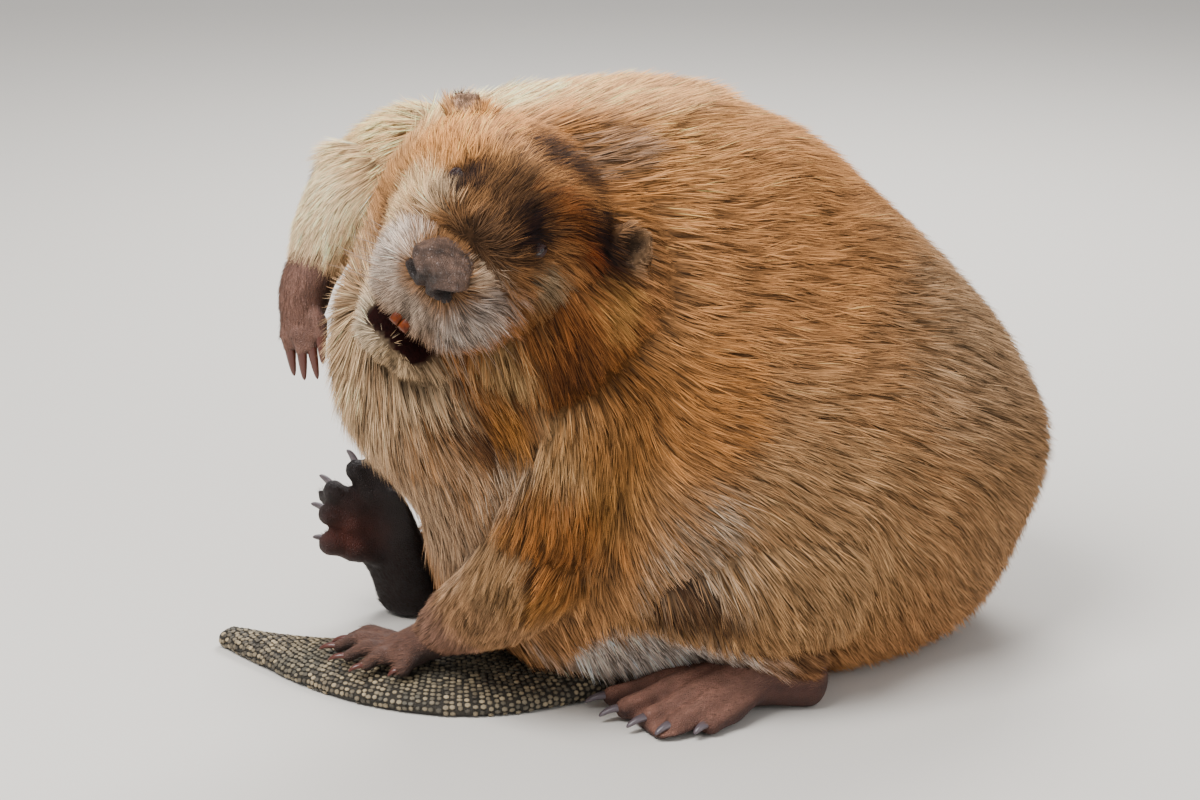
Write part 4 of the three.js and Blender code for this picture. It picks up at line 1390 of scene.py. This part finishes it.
@dataclass(frozen=True)
class Tongue:
    """The tongue's tip on the floor of the open mouth."""

    def build(self) -> None:
        """A low rounded loft between the sides of the jaw."""
        body = Loft(((4, 0, -70, 15, 5), (22, 0, -76, 14, 5), (36, 0, -81, 10, 4)),
                    across=(0, 1, 0), caps=(6, 7), in_head=True)
        piece = mesh_object("tongue", body.surface(sides=28, rings=18))
        weld(piece)
        finish = Finish("moist tongue", "6e2a22", Roughness=0.4, Specular_IOR_Level=0.5)
        noise = finish.node("TexNoise", Vector=finish.spot(), Scale=1 / (1.2 * MM), Detail=2.0)
        finish.bump(noise.outputs["Fac"], 0.4)
        dress(piece, finish.material, "nose_skin")


@dataclass(frozen=True)
class NosePad:
    """The naked nose: a broad pebbled pad with a comma-shaped nostril at each lower corner."""

    nostril: tuple[float, float, float] = (75.0, 14.5, -12.0)
    nostril_size: tuple[float, float, float] = (9.0, 7.0, 3.6)
    nostril_depth: float = 6.0
    rim: float = 1.6
    cleft: float = 1.8

    def build(self) -> None:
        """A rounded loft, sunk at the nostrils and along the middle line."""
        pad = Loft(((48, 0, 0, 15, 8), (56, 0, -1, 18, 10), (66, 0, -5, 20.5, 13.5),
                    (75, 0, -10, 19.5, 14.5)),
                   across=(0, 1, 0), caps=(3, 6.5), square=2.35, in_head=True)
        made = pad.surface(sides=96, rings=44, round_rings=16)
        h = HEAD.into(made.points)
        x, y, z = self.nostril
        deep, long, high = self.nostril_size
        push, dark = np.zeros(len(h)), np.zeros(len(h))
        for side in (1, -1):
            offset = h - np.array([x, y * side, z])
            turned = offset[:, 1] * side * 0.8 + offset[:, 2] * 0.6
            upright = offset[:, 2] * 0.8 - offset[:, 1] * side * 0.6
            far = np.sqrt((turned / long) ** 2 + (upright / high) ** 2 + (offset[:, 0] / deep) ** 2)
            push -= self.nostril_depth * np.exp(-far ** 4)
            push += self.rim * np.exp(-((far - 1.7) / 0.45) ** 2)
            # the nostril mask, for painted shade inside the nostrils
            dark = np.maximum(dark, np.exp(-(far / 1.2) ** 4))
        push -= self.cleft * np.exp(-(h[:, 1] / 2.2) ** 2) * ramp(62, 70, h[:, 0]) * ramp(4, -6, h[:, 2])
        push += 0.3 * Ripples(6.0, 61).value(made.points)
        made.points += made.normals() * push[:, None]
        piece = mesh_object("nose_pad", made)
        # painted shade low on the pad and painted light towards its top, by height in the head's frame
        tone = mix(linear("241814")[None], linear("604a3e")[None], ramp(-22, 6, h[:, 2]))
        tone *= 1 + 0.22 * Ripples(9.0, 62).value(made.points)[:, None]
        # the nostrils painted near black as the shade inside them
        paint(piece, "tone", mix(tone, linear("120807")[None], dark))
        dress(piece, SkinFinish("moist nose skin", 1.4, 0.7, 0.45).make(), "nose_skin", "nose")


@dataclass(frozen=True)
class Eye:
    """A small dark eye, nearly shut, in its rolled lids.

    Attributes:
        side: 1 for the left eye, -1 for the right.
        opening: half the slit's height, as an angle.
    """

    side: int
    opening: float
    radius: float = 7.0
    place: tuple[float, float, float] = (22.5, 34.5, 26.5)

    def frame(self) -> tuple[Array, Array, Array, Array]:
        """The ball's middle, where it looks, the slit's line and its upper side, in the head's frame."""
        x, y, z = self.place
        look = unit(np.array([0.42, 0.62 * self.side, 0.66]))
        line = np.array([0.86, 0.1 * self.side, -0.35])
        line = unit(line - look * (line @ look))
        upper = np.cross(look, line) * self.side
        return np.array([x, y * self.side, z]), look, line, upper if upper[2] > 0 else -upper

    def build(self, title: str) -> None:
        """Makes the ball and the lids."""
        ball = mesh_object(f"eyeball_{title}", self.ball())
        weld(ball)
        wet = Finish("wet dark eye", "0d0605", Roughness=0.06, Specular_IOR_Level=0.7, Coat_Weight=0.6)
        noise = wet.node("TexNoise", Vector=wet.spot(), Scale=1 / (2 * MM), Detail=2.0)
        wet.feed("Base Color", wet.ramp(noise.outputs["Fac"], ((0.3, "060303"), (0.75, "2a1410"))))
        dress(ball, wet.material, "eye", f"eye_{title}")
        lids = mesh_object(f"lids_{title}", self.lids())
        paint(lids, "tone", np.tile(linear("2e1712"), (len(lids.data.vertices), 1)))
        dress(lids, SkinFinish("lid skin", 0.8, 0.2, 0.42).make(), "nose_skin")

    def ball(self) -> Surface:
        """A ball of latitude and longitude about the direction it looks."""
        middle, look, line, upper = self.frame()
        polar = np.linspace(1e-4, math.pi - 1e-4, 25)[:, None, None]
        turn = np.linspace(0, 2 * math.pi, 36, endpoint=False)[None, :, None]
        ring = np.cos(turn) * line + np.sin(turn) * upper
        points = middle + self.radius * (np.cos(polar) * look + np.sin(polar) * ring)
        return grid(HEAD.out(points)).outward()

    def lids(self) -> Surface:
        """A rolled rim round the slit: rings that step out from an ellipse of angles on the ball.

        The slit is `opening` high and 44 degrees to each end; each further ring lies wider, and
        its height over the ball rises to the roll and falls into the skin.
        """
        middle, look, line, upper = self.frame()
        steps = np.array([-0.10, 0.0, 0.05, 0.14, 0.26, 0.42, 0.60, 0.80])[:, None]
        heights = np.array([0.98, 1.02, 1.10, 1.15, 1.13, 1.06, 0.98, 0.86])[:, None]
        turn = np.linspace(0, 2 * math.pi, 48, endpoint=False)[None, :]
        wide = np.radians(44) * np.cos(turn) * (1 + 0.55 * steps)
        tall = (self.opening + np.radians(52) * np.maximum(steps, -0.02)) * np.sin(turn)
        tall = tall - np.radians(6) * np.cos(turn) ** 2
        out = np.cos(tall)[..., None] * (np.cos(wide)[..., None] * look + np.sin(wide)[..., None] * line)
        points = middle + self.radius * heights[..., None] * (out + np.sin(tall)[..., None] * upper)
        made = grid(HEAD.out(points))
        outwards = (made.normals() @ HEAD.turn(look)).mean() > 0
        return made if outwards else Surface(made.points, made.faces[:, ::-1])


@dataclass(frozen=True)
class Whiskers:
    """Stiff tapering whiskers in rows on both sides of the upper lip."""

    rows: int = 4
    each: int = 6

    def build(self) -> None:
        """All whiskers as one piece: thin cones of five sides along drooping lines."""
        rng = np.random.default_rng(SEED + 40)
        row, place, side = (part.ravel() for part in np.meshgrid(
            np.arange(self.rows), np.arange(self.each), (1, -1), indexing="ij"))
        count = len(row)
        x = 66 - 5.0 * place + rng.normal(0, 0.8, count)
        z = -20 - 8.0 * row + rng.normal(0, 0.8, count)
        y = side * (30 + 1.6 * place - 1.2 * row)
        root = np.stack([x, y, z], axis=1)
        heading = unit(np.stack([0.15 - 0.1 * place + rng.normal(0, 0.1, count), side * 1.0,
                                 -0.25 - 0.12 * row + rng.normal(0, 0.12, count)], axis=1))
        reach = rng.uniform(22, 46, count)
        t = np.linspace(0, 1, 7)[None, :, None]
        back = np.array([-0.35, 0.0, -0.2])
        far = reach[:, None, None] * t
        line = root[:, None] + heading[:, None] * far + back * (far * t)
        along = unit(np.gradient(line, axis=1))
        one = unit(np.cross(along, np.array([0.0, 0.0, 1.0])))
        two = np.cross(along, one)
        size = 0.32 * (1 - 0.92 * t)
        angle = np.linspace(0, 2 * math.pi, 5, endpoint=False)
        rings = line[:, :, None] + size[..., None, :] * (
            one[:, :, None] * np.cos(angle)[:, None] + two[:, :, None] * np.sin(angle)[:, None])
        piece = mesh_object("whiskers", joined([grid(whisker) for whisker in HEAD.out(rings)]))
        dress(piece, Finish("whisker keratin", "8c6f57", Roughness=0.45).material, "muzzle_fur")


@dataclass(frozen=True)
class TailScales:
    """The tail's flat horny scales: low six-sided domes in staggered rows across the tail.

    Attributes:
        pitch: the rows' spacing along the tail, mm.
        width: a scale's width across it, mm.
        relief: how high its dome stands, mm.
    """

    pitch: float = 3.6
    width: float = 4.2
    relief: float = 0.4

    def build(self) -> None:
        """Places a dome at every row and column round the tail, pointing to its tip."""
        t_fine = np.linspace(0, 1, 400)
        centres, _, _, _, sizes = TAIL.spine(t_fine)
        run = np.concatenate([[0], np.cumsum(np.linalg.norm(np.diff(centres, axis=0), axis=1))])
        rows = np.arange(26.0, run[-1] + 2, self.pitch)
        t_rows = np.interp(rows, run, t_fine)
        place, turn, stretch = [], [], []
        for k, t in enumerate(t_rows):
            half_a, half_b = (np.interp(t, t_fine, sizes[:, axis]) for axis in (0, 1))
            angle = np.linspace(0, 2 * math.pi, 721)
            c, s = np.cos(angle), np.sin(angle)
            power = 2 / TAIL.square
            ring = np.stack([half_a * bent(c, power), half_b * bent(s, power)], axis=1)
            around = np.concatenate([[0], np.cumsum(np.linalg.norm(np.diff(ring, axis=0), axis=1))])
            number = max(int(around[-1] / self.width), 6)
            spots = (np.arange(number) + 0.5 * (k % 2)) / number * around[-1]
            turn.append(np.interp(spots, around, angle))
            place.append(np.full(number, t))
            stretch.append(np.full(number, around[-1] / number))
        t, angle, stretch = np.concatenate(place), np.concatenate(turn), np.concatenate(stretch)
        rng = np.random.default_rng(SEED + 50)
        here, along, across, out = self.frames(t, angle)
        keep = (here[:, 2] > 2.0) & (rng.uniform(size=len(t)) < 0.995)
        here, along, across, out, stretch = (part[keep] for part in (here, along, across, out, stretch))
        corner = np.radians(np.arange(6) * 60.0 + 30.0)
        count = len(here)
        here = (here + along * rng.normal(0, 0.4, (count, 1)) + across * rng.normal(0, 0.45, (count, 1))
                + out * rng.uniform(-0.12, 0.12, (count, 1)))
        long = self.pitch * 0.60 * rng.uniform(0.8, 1.1, (count, 1))
        wide = stretch[:, None] * 0.50 * rng.uniform(0.72, 1.0, (count, 1))
        layers = []
        for share, height in ((1.0, -0.5), (0.98, 0.12), (0.72, self.relief)):
            offset = (along[:, None] * (long * share * np.cos(corner))[..., None]
                      + across[:, None] * (wide * share * np.sin(corner))[..., None])
            layers.append(here[:, None] + offset + out[:, None] * height
                          + along[:, None] * (0.4 if share < 0.9 else 0.0))
        top = here[:, None] + out[:, None] * (self.relief + 0.12) + along[:, None] * 0.5
        points = np.concatenate(layers + [top], axis=1)
        points[..., 2] = np.maximum(points[..., 2], 0.3)
        i = np.arange(6)
        j = (i + 1) % 6
        faces = np.concatenate([
            np.stack([i, j, 6 + j], 1), np.stack([i, 6 + j, 6 + i], 1),
            np.stack([6 + i, 6 + j, 12 + j], 1), np.stack([6 + i, 12 + j, 12 + i], 1),
            np.stack([12 + i, 12 + j, np.full(6, 18)], 1),
            np.array([[0, 2, 1], [0, 3, 2], [0, 4, 3], [0, 5, 4]])])
        every = faces[None] + 19 * np.arange(count)[:, None, None]
        surface = Surface(points.reshape(-1, 3), every.reshape(-1, 3)).outward()
        piece = mesh_object("tail_scales", surface, smooth=False)
        # painted shade: each scale darker towards its base, in the gaps between scales, and a touch paler at
        # its top
        shade = np.array([0.3] * 6 + [0.5] * 6 + [1.0] * 6 + [1.1])
        hue = mix(linear("4e463a")[None], linear("ab9877")[None], np.clip(rng.normal(0.36, 0.4, count), 0, 1))
        worn = np.clip(0.5 + 0.5 * Ripples(60.0, 31).value(here), 0, 1)
        hue = mix(hue, linear("5d5a4c")[None], 0.45 * worn)
        paint(piece, "tone", (hue[:, None] * shade[None, :, None]).reshape(-1, 3))
        dress(piece, SkinFinish("horny tail scales", 0.9, 0.12, 0.5).make(), "tail_skin")
        log.info("tail: %d scales", count)

    def frames(self, t: Array, angle: Array) -> tuple[Array, Array, Array, Array]:
        """Places on the tail's surface and the directions along it, across it and out of it."""
        step = 2e-3
        here = self.spot(t, angle)
        along = unit(self.spot(t + step, angle) - self.spot(t - step, angle))
        across = self.spot(t, angle + step) - self.spot(t, angle - step)
        across = unit(across - along * np.einsum("ij,ij->i", across, along)[:, None])
        out = np.cross(along, across)
        centres = TAIL.spine(np.clip(t, 0, 1))[0]
        out *= np.sign(np.einsum("ij,ij->i", out, here - centres))[:, None]
        return here, along, across, out

    def spot(self, t: Array, angle: Array) -> Array:
        """The tail's surface at t along it and angle round it."""
        centres, _, u, v, sizes = TAIL.spine(np.clip(t, 0, 1))
        c, s = np.cos(angle), np.sin(angle)
        power = 2 / TAIL.square
        across, upwards = sizes[:, 0] * bent(c, power), sizes[:, 1] * bent(s, power)
        return centres + u * across[:, None] + v * upwards[:, None]


# ---------------------------------------------------------------- the studio
@dataclass(frozen=True)
class Studio:
    """A pale floor, soft lights and the camera.

    Attributes:
        elevation: the camera's height over the floor, in degrees.
        distance: from the target to the camera, mm.
        target: what the camera and the lights look at, mm.
        focal: the lens, mm.
        sensor: the width of its picture, mm.
        backdrop: where the floor starts to rise behind the target, mm.
    """

    elevation: float = 17.0
    distance: float = 2520.0
    target: tuple[float, float, float] = (0.0, 0.0, 193.0)
    focal: float = 106.56
    sensor: float = 36.0
    backdrop: float = 2500.0

    def build(self) -> None:
        """Makes the camera first, then the lights and the floor."""
        self.camera()
        self.light("key", (-800, -900, 2000), 1300, 76.0)
        self.light("fill", (1500, -1500, 900), 1300, 12.0)
        self.light("rim", (300, 1500, 1500), 1000, 46.0)
        sky = bpy.data.worlds.new("studio sky")
        bpy.context.scene.world = sky
        sky.use_nodes = True
        sky.node_tree.nodes["Background"].inputs["Color"].default_value = (0.95, 0.96, 1.0, 1.0)
        sky.node_tree.nodes["Background"].inputs["Strength"].default_value = 0.55
        self.floor()

    def camera(self) -> None:
        """The camera, looking at the target from the front, a little above."""
        lens = bpy.data.cameras.new("camera")
        lens.lens, lens.sensor_width = self.focal, self.sensor
        camera = bpy.data.objects.new("camera", lens)
        bpy.context.scene.collection.objects.link(camera)
        bpy.context.scene.camera = camera
        tilt = math.radians(self.elevation)
        away = np.array([0.0, -math.cos(tilt), math.sin(tilt)]) * self.distance
        camera.location = Vector(world(np.array(self.target) + away))
        camera.rotation_euler = (math.pi / 2 - tilt, 0.0, 0.0)

    def light(self, name: str, place: tuple[float, float, float], size: float, power: float) -> None:
        """A square soft light at a place, `size` mm wide, aimed at the target."""
        lamp = bpy.data.lights.new(name, "AREA")
        lamp.size, lamp.energy = size * MM, power
        made = bpy.data.objects.new(name, lamp)
        bpy.context.scene.collection.objects.link(made)
        start = Vector(world(np.array(place, dtype=float)))
        aim = Vector(world(np.array(self.target))) - start
        made.matrix_world = Matrix.Translation(start) @ aim.to_track_quat("-Z", "Y").to_matrix().to_4x4()

    def floor(self) -> None:
        """A pale matt floor at z = 0, fading up into a backdrop."""
        x, depth = np.meshgrid(np.linspace(-6000, 6000, 25), np.linspace(-6000, 5000, 45))
        lift = 400 * (np.maximum(depth - self.backdrop, 0) / 1200) ** 2
        points = np.stack([x, depth, lift], axis=-1)
        piece = mesh_object("floor", grid(points, wrap=False))
        piece.data.materials.append(Finish("pale studio card", "d9d4cc", Roughness=0.85).material)


def main() -> None:
    """Builds the studio and the beaver, piece by piece."""
    logging.basicConfig(level=logging.INFO, format="%(name)s: %(message)s")
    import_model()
    Studio().build()
    skin = Skin()
    piece = skin.build()
    covered = [part.value for part in BODY] + [foot.node for foot in FEET] + ["tail"]
    dress(piece, piece.data.materials[0], "fur", *covered)
    log.info("skin: %d quads", len(piece.data.polygons))
    coat = FurCoat(skin)
    coat.build()
    coat.paws()
    Claws().build()
    Incisors().build()
    Tongue().build()
    NosePad().build()
    Eye(1, math.radians(9)).build("left")
    Eye(-1, math.radians(4)).build("right")
    Whiskers().build()
    TailScales().build()


if __name__ == "__main__":
    main()
